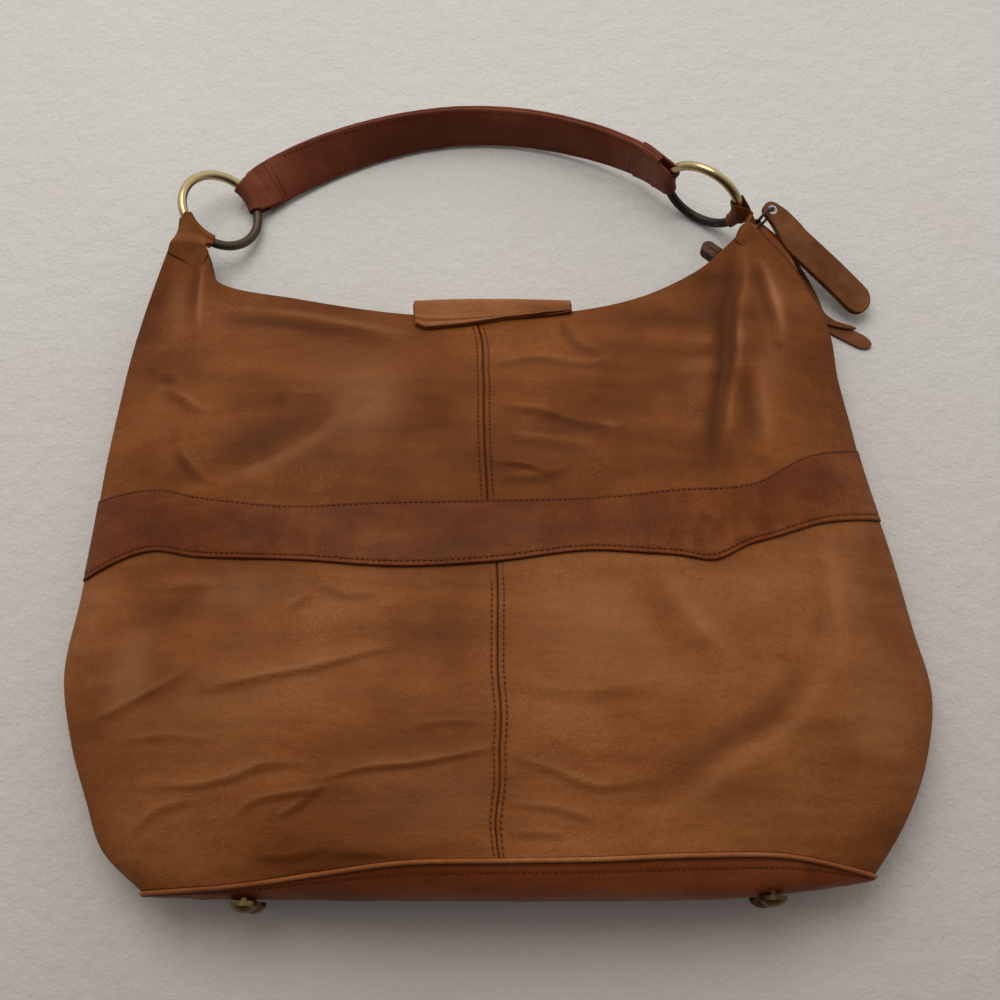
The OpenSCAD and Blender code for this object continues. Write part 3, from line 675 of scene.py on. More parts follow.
def metal(name, bright, dull, rough=(0.18, 0.5), shaded_side=None):
    """Plated metal with patina and fine scratches, painted darker beyond a line on the given side: painted
    shade.
    """
    n = Nodes(name)
    patina = n.noise(PATINA, 5, 0.6)
    if shaded_side:
        split = n.add("ShaderNodeSeparateXYZ")
        n.link(n.place, split.inputs["Vector"])
        middle, way, width = shaded_side
        reach = n.math("ADD", n.math("MULTIPLY", split.outputs["X"], way[0]),
                       n.math("ADD", n.math("MULTIPLY", split.outputs["Y"], way[1]),
                              n.math("MULTIPLY", split.outputs["Z"], way[2])))
        start = float(np.dot(middle, way)) * MM
        # painted shade: darker beyond the line, on the side away from the lamp
        shaded = n.remap(reach, start - width, start + width, 0.12, 0.42)
        patina = n.math("ADD", n.math("MULTIPLY", patina, 0.5), shaded)
    colour = n.ramp(patina, [(0.42, srgb(*bright)), (0.6, srgb(*dull))])
    scratches = n.noise(SCRATCHES, 3, 0.7, n.stretched((1, 0.12, 1), 30))
    shine = n.remap(patina, 0.4, 0.62, rough[0], rough[1])
    return n.finish(colour, shine, n.bump(scratches, 0.00004), Metallic=1.0)


TAN = leather("tan_leather", (70, 31, 9), (100, 51, 16), (119, 66, 26), (150, 98, 64))
LOWER = leather("tan_leather_lower", (80, 38, 13), (110, 60, 25), (130, 79, 42), (154, 106, 70), patch=10)
BAND_MAT = leather("band_leather", (58, 21, 5), (90, 39, 9), (112, 58, 19), (144, 90, 52), patch=17,
                   rough=(0.32, 0.5), gloss=0.15)
BASE_MAT = leather("base_leather", (82, 36, 15), (114, 54, 24), (134, 72, 38), (154, 96, 62), patch=12)
PIPE_MAT = leather("piping_leather", (90, 44, 20), (122, 68, 34), (140, 86, 50), (176, 130, 98))
STRAP_MAT = leather("strap_leather", (86, 40, 27), (100, 48, 32), (118, 62, 43), (146, 92, 70), patch=22,
                    rough=(0.4, 0.6))
TAG_MAT = leather("tag_leather", (80, 44, 24), (104, 62, 37), (120, 78, 50), (136, 96, 70), patch=30,
                  rough=(0.6, 0.8), gloss=0.06)
FLAP_MAT = leather("tab_leather", (98, 50, 22), (126, 74, 40), (144, 92, 56), (162, 114, 82), patch=20)
FACING_MAT = leather("facing_leather", (80, 38, 16), (106, 55, 24), (122, 70, 36), (140, 90, 56))
THREAD_MAT = cloth("thread", (62, 28, 12), (84, 42, 20), 0.3)
LINING_MAT = cloth("lining_cotton", (190, 172, 146), (160, 140, 114))
WEBBING_MAT = cloth("loop_webbing", (62, 42, 34), (94, 70, 58), 0.7)
BRASS = metal("antique_brass", (168, 148, 108), (92, 78, 60))
# the left ring is painted darker towards its lower right, the right ring towards the floor: painted shade
LEFT_SHADED_BRASS = metal("antique_brass_left", (172, 152, 112), (80, 68, 56),
                   shaded_side=(LEFT_RING, (0.7, -0.7, 0), 0.008))
DARK_BRASS = metal("antique_brass_right", (174, 154, 110), (56, 49, 44),
                   shaded_side=(RIGHT_RING, (0, 0, -1), 0.006))
STUD_BRASS = metal("antique_brass_studs", (118, 94, 58), (66, 50, 36))
DARK_METAL = metal("dark_metal", (92, 84, 78), (44, 38, 36), (0.25, 0.55))
STEEL = metal("steel", (188, 186, 182), (120, 116, 110), (0.2, 0.42))


def board_material():
    """Pressed grey board."""
    n = Nodes("board")
    fibre = n.noise(700, 4, 0.7)
    colour = n.blend(n.remap(fibre, 0.35, 0.65), srgb(150, 132, 106), srgb(116, 98, 76))
    return n.finish(colour, 0.92, n.bump(fibre, 0.0002), Specular_IOR_Level=0.1)


BOARD_MAT = board_material()


def dress(node, material, sharp=40):
    """Give a CAD node that stays in view its finish."""
    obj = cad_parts[node]
    obj.data.materials.clear()
    obj.data.materials.append(material)
    obj.data.shade_smooth()
    obj.data.set_sharp_from_angle(angle=math.radians(sharp))


# ---------------------------------------------------------------- body
PANEL_W, UPPER_H, LOWER_H = 190, 168, 158
STITCH_IN = 2.3
DOWN, INWARD = np.array([0.0, 0.0, -1.0]), np.array([0.0, 1.0, 0.0])


def settle(u, v):
    """How far the folds show: less at the seams and the mouth, where the leather is held."""
    side = 1 - 0.85 * ease((np.abs(u) - 0.88) / 0.12)
    return side * (1 - 0.7 * ease((v - 0.95) / 0.05)) * (1 - 0.8 * ease((0.04 - v) / 0.04))


def pucker(u, x, y, v):
    """Gathers that the band's seams pull into it."""
    edge = bell(v, BAND_TOP, 0.02) + bell(v, BAND_LOW, 0.022)
    where = 0.35 + bell(u, 0.52, 0.14) + 0.7 * bell(u, 0.86, 0.1) + 0.4 * bell(u, -0.5, 0.2)
    return where * ((noise(x / 2.8, y / 16, 4) - 0.5) * 0.5 * edge + (noise(x / 5, y / 7, 5) - 0.5) * 0.6)


def on_back(u, v, above=0.0, gathers=False):
    """Points on the back's outer face, with its folds, and the tone of the leather there, painted shade and
    highlight included.
    """
    u, v = paired(u, v)
    x, y = plan(u, v)
    lift, tone = relief(x, y)
    if gathers:
        extra = pucker(u, x, y, v)
        # the gathers are painted lighter on their rises and darker in their hollows: painted highlight and
        # shade
        lift, tone = 0.7 * lift + extra, tone + 0.9 * extra
    held = settle(u, v)
    # a painted shadow line along the right side seam near the peak
    seam = 4 * bell(u, 1, 0.016) * ease((v - 0.8) / 0.06)
    return np.stack([x, y, back_z(u, v) + lift * held + above], -1), tone * held - seam


def on_front(u, v, above=0.0):
    """The same on the front, which lies on the table: its folds only rise from it."""
    u, v = paired(u, v)
    x, y = plan(u, v)
    lift = 1.4 * noise(x / 40, y / 30, 6) * settle(u, v) * (1 - bell(v, 0.486, 0.09))
    roll = 9 * bell(u, 0.955, 0.03) * ease((v - 0.83) / 0.12) * (1 - ease((v - 0.97) / 0.03))
    x, y, lift = x + 0.75 * roll, y + 0.66 * roll, lift - 0.2 * roll
    return np.stack([x, y, front_z(u, v) + lift - above], -1), 0.6 * (noise(x / 30, y / 24, 7) - 0.5)


def grooved(face, line_cols, line_rows, cols, rows, into, depth=0.3):
    groove = sum((bell(cols, k, 0.5)[None, :] for k in line_cols), np.zeros((1, len(cols))))
    groove = groove + sum((bell(rows, k, 0.5)[:, None] for k in line_rows), np.zeros((len(rows), 1)))
    return face + np.asarray(into) * (depth * groove)[..., None], groove


def body_sheet(name, node, size, at, where, thick, material, slot, step=1.7, lines=((), ()), into=DOWN):
    """Leather or cloth on the body: at maps 0..1 across and along to u and v, where maps those to points."""
    cols, rows = ticks(size[0], step, lines[0]), ticks(size[1], step, lines[1])
    s, t = np.meshgrid(cols / size[0], rows / size[1])
    face, tone = where(*at(s, t))
    face, groove = grooved(face, lines[0], lines[1], cols, rows, into)
    # the stitch grooves are painted darker: painted shade
    points, faces, shade = sheet_mesh(face, into, thick, rows, cols, tone - 0.5 * groove)
    obj = piece(name, points, faces, material, slot, shade)
    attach(obj, "bag")
    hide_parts(node)
    return obj


def upper_seam(v):
    return np.interp(v, [0.534, 0.666, 0.736, 0.829, 0.959, 1],
                     [-0.001, -0.011, -0.02, -0.024, -0.012, -0.008])


def lower_seam(v):
    return np.interp(v, [0, 0.206, 0.343, 0.446], [-0.009, -0.017, 0.009, 0.011])


def panel_map(seam, left, low, high):
    def at(s, t):
        v = mix(low, high, t)
        middle = seam(v)
        u = mix(-1, middle, s) if left else mix(middle, 1, s)
        return u, v
    return at


MEET = BAND_TOP - 1.8 * LAP
UPPER, LOWER_SPAN = (MEET, 1.0), (0.0, MEET - 0.0006)
for face, where, into, step in (("back", on_back, DOWN, 1.4), ("front", on_front, -DOWN, 2.2)):
    for part, seam, span, size, material in (("upper", upper_seam, UPPER, UPPER_H, TAN),
                                             ("lower", lower_seam, LOWER_SPAN, LOWER_H, LOWER)):
        for side, left in (("left", True), ("right", False)):
            node = f"{face}_{part}_{side}"
            line = PANEL_W - STITCH_IN if left else STITCH_IN
            body_sheet(node + "_leather", node, (PANEL_W, size), panel_map(seam, left, *span), where, LEATHER,
                       material, "tan_leather", step, ((line,), ()), into)

# The band's edges wander a little, as they were sewn: their v at even steps of u
TOP_EDGE = [0.529, 0.528, 0.531, 0.518, 0.526, 0.528, 0.521, 0.516, 0.502, 0.528, 0.534]
LOW_EDGE = [0.434, 0.452, 0.455, 0.45, 0.443, 0.447, 0.453, 0.438, 0.437, 0.446, 0.45]


def band_top(u):
    return curve(TOP_EDGE, (u + 1) / 2)


def band_low(u):
    return curve(LOW_EDGE, (u + 1) / 2) - 0.011 * bell(u, 0.475, 0.06)


BAND_LEN, BAND_W = 385, 30
band_lines = (2.0, BAND_W - 1.0)


def band_map(s, t):
    u = mix(-1, 1, s)
    return u, mix(band_low(u), band_top(u), t)


def back_band_at(u, v):
    return on_back(u, v, BAND + SEWN, True)


def front_band_at(u, v):
    return on_front(u, v, BAND + SEWN)


for face, where, step, into in (("back", back_band_at, 1.3, DOWN), ("front", front_band_at, 3.0, -DOWN)):
    body_sheet(f"{face}_band_leather", f"{face}_band", (BAND_LEN, BAND_W), band_map, where, BAND, BAND_MAT,
               "band_leather", step, ((), band_lines), into)

along = np.linspace(0, 1, 160)
for seam, (low, high) in ((upper_seam, (BAND_TOP + 0.004, 0.962)), (lower_seam, (0.006, BAND_LOW - 0.008))):
    v = mix(low, high, along)
    for offset in (-STITCH_IN, STITCH_IN):
        stitch(on_back(seam(v) + offset / PANEL_W, v)[0], -DOWN)
u = mix(-0.985, 0.985, along)
for edge, offset in ((band_top, -1.0 / BODY_H), (band_low, 2.0 / BODY_H)):
    v = edge(u) + offset
    stitch(back_band_at(u, v)[0], -DOWN)
    stitch(front_band_at(u, v)[0], DOWN)
threads("body_stitching", THREAD_MAT, "band_leather")


# ---------------------------------------------------------------- base
BASE_LEN, BASE_SPAN = 330, 62


def on_base(u, w):
    p = base_at(u, w)
    lift = 0.9 * (noise(p[..., 0] / 26, w * 5, 8) - 0.5) * np.sin(np.pi * np.clip(w, 0, 1))
    end = 1.4 * (bell(u, 0.86, 0.1) + bell(u, -0.8, 0.1)) * (noise(p[..., 0] / 6, w * 4, 9) - 0.5)
    p[..., 1] += (lift + end * np.sin(np.pi * np.clip(w, 0, 1))) * (1 - np.abs(u) ** 8)
    # bulges painted lighter and hollows darker, with a band of painted shade just under the piping at the
    # base's back edge
    return p, lift + end - 0.5 * bell(w, 0.06, 0.08)


BASE_SEWN = 2.4  # from the base's edges to its stitches
body_sheet("base_leather", "base_panel", (BASE_LEN, BASE_SPAN), lambda s, t: (mix(-1, 1, s), t), on_base,
           LEATHER, BASE_MAT, "base_leather", 2.0, ((), (BASE_SEWN, BASE_SPAN - BASE_SEWN)), INWARD)

tubes = []
around = np.linspace(0, 2 * np.pi, 12, endpoint=False)
for edge, side in ((0, 1), (1, -1)):
    u = np.linspace(-1, 1, 220)
    r = 0.62 * PIPING / 2
    middle = base_at(u, edge + 0 * u) + np.array([0, LEATHER / 2, side * (r + SEWN)])
    size = r * (1 + 0.05 * (noise(u * 60, u * 0, 10 + edge) - 0.5))
    size[:3] *= (0.35, 0.75, 0.95)
    size[-3:] *= (0.95, 0.75, 0.35)
    path_along = unit(np.gradient(middle, axis=0))
    b = unit(np.cross(path_along, np.array([0, 0, 1.0])))
    ring = np.stack([np.cos(around), np.sin(around)], -1)[None] * size[:, None, None]
    tubes.append(sweep_mesh(middle, b, np.cross(b, path_along), ring))
    p, _ = on_base(u, np.abs(edge - BASE_SEWN / BASE_SPAN) + 0 * u)
    stitch(p, (0, -1, side * 0.8))


def joined(meshes):
    """Several closed shells as one."""
    points, faces, n = [], [], 0
    for p, f in meshes:
        points.append(np.asarray(p).reshape(-1, 3))
        faces += [[int(k) + n for k in one] for one in f]
        n += len(points[-1])
    return np.concatenate(points), faces


piping = piece("base_piping_cord", *joined(tubes), PIPE_MAT, "tan_leather")
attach(piping, "bag")
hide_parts("base_piping")
threads("base_stitching", THREAD_MAT, "base_leather")


# ---------------------------------------------------------------- inside
def inside(where, depth):
    """The body's surface, set inwards by a depth."""
    def at(u, v):
        p, tone = where(u, v)
        p[..., 2] -= depth if where is on_back else -depth
        wrinkle = 0.3 * (noise(p[..., 0] / 16, p[..., 1] / 12, 12) - 0.5)
        p[..., 2] += wrinkle * (1 if where is on_front else -1)
        return p, tone
    return at


def spread(half, low, high):
    return lambda s, t: (mix(-half, half, s), mix(low, high, t))


for face, where, into in (("back", on_back, DOWN), ("front", on_front, -DOWN)):
    body_sheet(f"lining_{face}_cloth", f"lining_{face}", (340, 290), spread(0.9, 0.05, FACING_V - 0.01),
               inside(where, LINING_DEPTH + 0.3), LINING, LINING_MAT, "lining_cotton", 4.0, into=into)
    body_sheet(f"facing_{face}_leather", f"facing_{face}", (200, 26), spread(0.7, FACING_V, 0.998),
               inside(where, LINING_DEPTH), FACING, FACING_MAT, "tan_leather", 2.6, ((), (2.5,)), into)
body_sheet("pocket_cloth", "inner_pocket", (145, 120), spread(0.39, FACING_V - 0.383, FACING_V - 0.03),
           inside(on_back, LINING_DEPTH + LINING + 0.8), LINING, LINING_MAT, "lining_cotton", 3.0,
           ((3.0, 142.0), (3.0, 116.0)))
SHANK = LEATHER + 2 + 4.6
body_sheet("lining_base_cloth", "lining_base", (300, 36), lambda s, t: (mix(-0.9, 0.9, s), mix(0.14, 0.86, t)),
           lambda u, w: (base_at(u, w, SHANK + 1), 0 * u), LINING, LINING_MAT, "lining_cotton", 4.0,
           into=INWARD)


# ---------------------------------------------------------------- leather folded round a ring
def fold_mesh(ring, turn, angle, half_turn, wire, thick, over, under, cols=20, rows=6):
    """A sleeve round a ring's wire whose two plies run out to the stations over and under.

    Each station is a grid row: one point for each of the columns across the sleeve.
    """
    ring_at, ring_r = ring
    axis = turned((0, 0, 1), turn)
    q = ticks(2.0 * half_turn, 2.0 * half_turn / cols, rim=1.6) / half_turn - 1
    out = spoke(angle + q * half_turn, turn)
    middle = np.asarray(ring_at) + ring_r * out
    r = wire + thick
    wrap = []
    for a in (60, 90, 130, 180, 230, 270, 300):
        a = math.radians(a)
        wrap.append(middle + r * (out * math.cos(a) + axis * math.sin(a)))
    stations = [row(q) for row in over] + wrap + [row(q) for row in under]
    f = np.linspace(0, 1, rows * (len(stations) - 1) + 1)
    grid = curve(np.array(stations), f)
    length = running_length(grid)
    outward = normals(grid)
    turn_row = grid.shape[0] * (len(over) + 3) // len(stations)
    if (outward[turn_row] * (grid[turn_row] - middle)).sum() < 0:
        outward = -outward
    width = (q + 1) / 2 * np.linalg.norm(grid[turn_row, -1] - grid[turn_row, 0])
    tone = 0.7 * (noise(grid[..., 0] / 5, grid[..., 1] / 5, 13) - 0.5)
    return sheet_mesh(grid, -outward, thick, length, width, tone)


def skirt(back, start, end):
    """Row of a tab's ply on a peak of the body. Its start and end are u, v and height over the leather."""
    def row(q):
        u, v, height = (mix(a, b, (q + 1) / 2) for a, b in zip(start, end))
        p = (on_back if back else on_front)(u, v)[0]
        p[:, 2] += height if back else -height
        return p
    return row


def neck(root, across, up, half, height):
    """Row of a tab's ply at its gathered neck."""
    return lambda q: np.asarray(root) + q[:, None] * half * unit(across) + height * unit(up)


TAB_THICK, NECK_HEIGHT = 1.4, 1.9
LEFT_SKIRT = (((-0.985, 0.966, 1.5), (-0.79, 0.925, -0.8)), ((-0.99, 0.978, 1.6), (-0.765, 0.965, 0.5)),
              ((-0.99, 0.996, 1.6), (-0.75, 0.998, 1.3)))
RIGHT_SKIRT = (((0.86, 0.925, -0.8), (0.93, 0.93, -0.8)), ((0.85, 0.965, -0.2), (0.95, 0.965, -0.1)),
               ((0.84, 0.995, 0.8), (0.97, 0.995, 0.9)))
for name, ring_at, turn, angle, half, root, across, over, spans, neck_half in (
        ("left", LEFT_RING, LEFT_TURN, TAB_LEFT, 28, left_root, (1, -0.4, 0), LEFT_SKIRT,
         (-0.985, -0.81), 8.8),
        ("right", RIGHT_RING, RIGHT_TURN, TAB_RIGHT, 26, right_root, (0.66, 0.75, 0), RIGHT_SKIRT,
         (0.84, 0.99), 3.2)):
    middle = root + ([2.2, -1.0, 0] if name == "left" else [0, 0, 0])
    over = [*(skirt(True, start, end) for start, end in over),
            neck(middle, across, (0, 0, 1), neck_half, NECK_HEIGHT)]
    under = [neck(middle, across, (0, 0, -1), neck_half, NECK_HEIGHT),
             *(skirt(False, (spans[0], v, TAB_THICK), (spans[1], v, TAB_THICK)) for v in (0.98, 0.955))]
    points, faces, shade = fold_mesh((ring_at, RING_R), turn, angle, half, FOLD_IN, TAB_THICK, over, under)
    tab = piece(f"ring_tab_{name}_leather", points, faces, TAN, "tan_leather", shade)
    out = spoke(angle, turn)
    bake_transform(tab)
    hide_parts(f"ring_tab_{name}")


# ---------------------------------------------------------------- handle
STRAP_RISE, STRAP_LEAN, LEFT_LEAN, STRAP_LOW = 40, 16, 74, STRAP_W / 2 + 0.5
strap_start = LEFT_RING + (RING_R + FOLD_OUT + 2) * spoke(STRAP_LEFT, LEFT_TURN)
strap_end = RIGHT_RING + (RING_R + FOLD_OUT + 2) * spoke(STRAP_RIGHT, RIGHT_TURN)


def strap_middle(s):
    s = np.clip(s, 0, 1)
    p = mix(strap_start, strap_end, s[:, None])
    p[:, 1] += STRAP_RISE * np.maximum(0, np.sin(np.pi * s**1.15)) ** 0.7
    p[:, 2] = STRAP_LOW + (strap_start[2] - STRAP_LOW) * (1 - s) ** 6 + (strap_end[2] - STRAP_LOW) * s**6
    return p


def strap_frame(s):
    s = np.asarray(s, float)
    d = unit(strap_middle(s + 0.03) - strap_middle(s - 0.03))
    tilt = np.radians(STRAP_LEAN + (LEFT_LEAN - STRAP_LEAN) * (1 - s) ** 5 - STRAP_LEAN * s**5)[:, None]
    out = unit(np.stack([-d[:, 1], d[:, 0], 0 * s], -1))
    across = unit(out * np.sin(tilt) + np.array([0, 0, 1.0]) * np.cos(tilt))
    return strap_middle(s), across, unit(np.cross(d, across))


def strap_outline(width, thick, notch=0.45):
    """Two layers of leather with rounded edges, one on the other."""
    r = thick / 4
    right = []
    for y0 in (-r, r):
        for a in np.linspace(-80, 80, 6):
            right.append((width / 2 - r + r * math.cos(math.radians(a)), y0 + r * math.sin(math.radians(a))))
        if y0 < 0:
            right.append((width / 2 - r - notch, 0))
    right = np.array(right)
    return np.concatenate([right, -right])


s = np.linspace(0, 1, 170)
middle, across, up = strap_frame(s)
wobble = 0.35 * (noise(s * 40, 0 * s, 15) - 0.5)
outlines = strap_outline(STRAP_W, STRAP_T)[None] * np.ones((len(s), 1, 1))
outlines[..., 0] *= (1 + 0.012 * (noise(s * 60, 0 * s, 14) - 0.5))[:, None]
points, faces = sweep_mesh(middle + wobble[:, None] * up, across, up, outlines)
strap = piece("strap_leather", points, faces, STRAP_MAT, "strap_leather", np.zeros(len(points)), 50)
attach(strap, "handle")
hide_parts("strap")
inner = (s > 0.075) & (s < 0.955)
for side in (-1, 1):
    line = (middle + wobble[:, None] * up + side * (STRAP_W / 2 - 2.4) * across)[inner]
    for way in (1, -1):
        stitch(line + way * up[inner] * STRAP_T / 2, way * up[inner])


def strap_ply(at, half, side):
    """Row of a strap end's ply where it is folded back onto the strap."""
    def row(q):
        m, a, n = strap_frame(np.array([at]))
        return m + q[:, None] * half * a + side * (STRAP_T / 2 + FOLD_T - 0.5) * n
    return row


for name, ring_at, turn, angle, side, ends in (
        ("left", LEFT_RING, LEFT_TURN, STRAP_LEFT, 1, (0.036, 0.022, 0.01)),
        ("right", RIGHT_RING, RIGHT_TURN, STRAP_RIGHT, -1, (0.955, 0.97, 0.99))):
    axis = turned((0, 0, 1), turn)
    _, a, n = strap_frame(np.array([ends[2]]))
    tangent = spoke(angle + 90, turn)
    flip = 1 if (tangent * a[0]).sum() > 0 else -1
    top = 1 if (axis * n[0]).sum() > 0 else -1
    halves = (STRAP_W / 2 - 0.3, STRAP_W / 2 - 0.5, 11.5)
    over = [strap_ply(e, flip * h, top) for e, h in zip(ends, halves)]
    under = [strap_ply(e, flip * h, -top) for e, h in zip(ends, halves)][::-1]
    points, faces, shade = fold_mesh((ring_at, RING_R), turn, angle, 25, FOLD_IN, FOLD_T - 0.2, over, under)
    end = piece(f"strap_end_{name}", points, faces, STRAP_MAT, "strap_leather", shade)
    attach(end, "handle")
    for face_side in (top, -top):
        m, a, n = strap_frame(np.array([ends[0] + 0.012 * side]))
        row = m + np.linspace(-0.8, 0.8, 12)[:, None] * halves[0] * a
        stitch(row + face_side * (STRAP_T / 2 + FOLD_T - 0.5) * n, face_side * n[0])
threads("strap_stitching", THREAD_MAT, "strap_leather", "handle")


# ---------------------------------------------------------------- closing tab
hinge_y = max(plan(TAB_U[0], 1.0)[1], plan(TAB_U[1], 1.0)[1], plan(0.0, 1.0)[1]) + 0.3 + TAB_T / 2
hinge_z = back_z(0.0, 1.0) + TAB_T + 1.3
half_fold = (hinge_z - TAB_T / 2) / 2


def tab_arc(degrees):
    """The fold's outer line, a little flatter at its ends than in the middle."""
    a = math.radians(degrees)
    reach = TAB_REACH - 3.0 - 1.6 * (2 * share - 1) ** 2
    return hinge_y + reach * math.sin(a), hinge_z + half_fold * (math.cos(a) - 1)


def tab_sheet(stations, widths, steps, rows_sewn=()):
    """The two layers of the tab through stations, each a row of points across it."""
    grid = curve(np.array(stations), np.linspace(0, 1, steps))
    length = running_length(grid)
    n = normals(grid)
    if n[0, :, 2].mean() < 0:
        n = -n
    tone = 0.6 * (noise(grid[..., 0] / 18, length[:, None] / 7, 16) - 0.5)
    sewn = sum(bell(length, k, 0.4) for k in rows_sewn)[:, None] if rows_sewn else 0 * tone
    # painted shade in the sewn groove
    tone = tone - 1.8 * sewn
    grid = grid - n * (0.3 * sewn)[..., None]
    layer = TAB_T / 2 - 0.04
    upper = sheet_mesh(grid + n * TAB_T / 2, -n, layer, length, widths, tone)
    grown = grid.copy()
    grown[..., 0] = TAB_X + (grid[..., 0] - TAB_X) * 1.012
    lower = sheet_mesh(grown, -n, layer, length, widths, tone)
    points, faces = joined([upper[:2], lower[:2]])
    return points, faces, np.concatenate([upper[2], lower[2]]), grid, n


q = ticks(TAB_W, 2.6)
share = q / TAB_W
tab_x = TAB_X + (share - 0.5) * TAB_W
tab_u = mix(TAB_U[0], TAB_U[1], share)


def root_row(v, drop=0.0):
    p, _ = on_back(tab_u, v + 0 * tab_u, SEWN + TAB_T / 2)
    p[:, 0] = mix(p[:, 0], tab_x, 0.6)
    p[:, 1] -= drop
    return p


def arc_row(degrees, rise=0.0):
    y, z = tab_arc(degrees)
    wave = 0.5 * (noise(tab_x / 22, 0 * tab_x, 17) - 0.5)
    return np.stack([tab_x, y + wave, z + rise + 0 * tab_x], -1)


edge_v = np.interp(share, [0, 0.06, 0.3, 0.43, 0.6, 1], [0.954, 0.943, 0.957, 0.968, 0.981, 0.998])
lip = 0.8 * (noise(tab_x / 16, 0 * tab_x, 18) - 0.5)
stations = [root_row(edge_v, lip), root_row(mix(edge_v, 0.999, 0.4), 0.6 * lip),
            root_row(mix(edge_v, 0.999, 0.8)), arc_row(4, -1.4), arc_row(24, -0.3),
            *(arc_row(degrees) for degrees in (38, 50, 60))]
points, faces, shade, grid, n = tab_sheet(stations, q, 60, (1.9,))
fold = piece("closing_tab_fold", points, faces, FLAP_MAT, "tab_leather", shade)
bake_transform(fold)
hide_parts("closing_tab_root")
row = 6
stitch(grid[row] + n[row] * (TAB_T / 2 - 0.25), n[row])
threads("closing_tab_stitching", THREAD_MAT, "tab_leather")

flap_stations = [arc_row(a) for a in (46, 64, 90, 120, 150, 172)]
for reach in (0.06, 0.3, 0.55, 0.8, 1.0):
    flap_y, flap_z = hinge_y - TAB_L * reach, TAB_T / 2 + 0.08
    flap_stations.append(np.stack([tab_x, flap_y + 0 * tab_x, flap_z + 0 * tab_x], -1))
grid = curve(np.array(flap_stations), np.linspace(0, 1, 110))
near_end = np.clip((hinge_y - grid[..., 1]) - (TAB_L - TAB_R), 0, TAB_R)
under = grid[..., 2] < TAB_T
half = TAB_W / 2 - np.where(under, TAB_R - np.sqrt(np.maximum(TAB_R**2 - near_end**2, 0)), 0)
grid[..., 0] = TAB_X + (grid[..., 0] - TAB_X) * half / (TAB_W / 2)
points, faces, shade, grid, n = tab_sheet(grid, q, 110)
flap = piece("closing_tab_flap", points, faces, FLAP_MAT, "tab_leather", shade)
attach(flap, "tab")
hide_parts("closing_tab")
for column in (4, -5):
    stitch(grid[6:-6, column] + n[6:-6, column] * TAB_T / 2, n[6:-6, column])
threads("closing_flap_stitching", THREAD_MAT, "tab_leather", "tab")


# ---------------------------------------------------------------- fob and loop
KEEPER_V, JUMP_R, JUMP_WIRE = 0.985, 6, 1.6
FOB_TURN, TONGUE_TURN, TONGUE_DROP = 45, -40, 12
keeper_at = np.array([*plan(1.0, KEEPER_V), seam_z(1.0, KEEPER_V)])
fob_out = np.array([math.cos(math.radians(FOB_TURN)), math.sin(math.radians(FOB_TURN)), 0])
jump_at = keeper_at + (JUMP_R + JUMP_WIRE / 2 + 0.3 + 1 + SEWN) * fob_out
eyelet_at = jump_at + JUMP_R * fob_out


def keeper_row(into_bag, height, half):
    return lambda q: (keeper_at - into_bag * fob_out + np.array([0, 0, height])
                      + q[:, None] * half * unit(np.array([-fob_out[1], fob_out[0], 0])))


points, faces, shade = fold_mesh((jump_at, JUMP_R), (90, 0, FOB_TURN), 180, 24, JUMP_WIRE / 2 + 0.3, 1.0,
                                 [keeper_row(2.2, 1.0, 2.2), keeper_row(1.0, 1.4, 2.4)],
                                 [keeper_row(1.0, -1.4, 2.4), keeper_row(2.2, -1.0, 2.2)], cols=10)
keeper = piece("fob_keeper_leather", points, faces, TAG_MAT, "tag_leather", shade)
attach(keeper, "bag")
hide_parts("fob_keeper")

EYELET_OUT, TONGUE_START, STRETCH = JUMP_WIRE / 2 + 1.9, 5.0, 7
tongue_axes = [turned(turned(v, (0, TONGUE_DROP, 0)), (0, 0, TONGUE_TURN)) for v in np.eye(3)]


def tongue_points(x, y, z):
    bend = -4.2 * ease((x - 3) / 20) - 0.0006 * np.maximum(x - 4, 0) ** 2
    return (eyelet_at + x[..., None] * tongue_axes[0] + (y + bend)[..., None] * tongue_axes[1]
            + z[..., None] * tongue_axes[2])


def tongue_half(x):
    """Half width of the tongue at x from its eyelet."""
    last = TONGUE_L - TONGUE_START + STRETCH - TONGUE_W / 2
    straight = np.clip(x / TONGUE_W, 0, 1) * (TONGUE_W / 2 - TONGUE_START) + TONGUE_START
    start = np.sqrt(np.maximum(TONGUE_START**2 - np.minimum(x, 0) ** 2, 0.25))
    end = np.sqrt(np.maximum((TONGUE_W / 2) ** 2 - np.maximum(x - last, 0) ** 2, 0.25))
    return np.where(x < 0, start, np.minimum(straight, end))


def cut_hole(obj, at, axis, radius):
    """Round hole through a piece, cut once and kept in its mesh."""
    around = np.linspace(0, 2 * np.pi, 33)[:-1]
    outline = radius * np.stack([np.cos(around), np.sin(around)], -1)
    points, faces = sweep_mesh(np.array([at - 6 * axis, at + 6 * axis]), np.array([tongue_axes[0]] * 2),
                               np.array([tongue_axes[1]] * 2), np.array([outline] * 2))
    drill = placed("drill", outward_mesh("drill", points, faces))
    cut = obj.modifiers.new("cut", "BOOLEAN")
    cut.operation, cut.object, cut.solver = "DIFFERENCE", drill, "EXACT"
    bpy.context.view_layer.update()
    done = bpy.data.meshes.new_from_object(obj.evaluated_get(bpy.context.evaluated_depsgraph_get()))
    obj.modifiers.clear()
    obj.data = done
    bpy.data.objects.remove(drill)


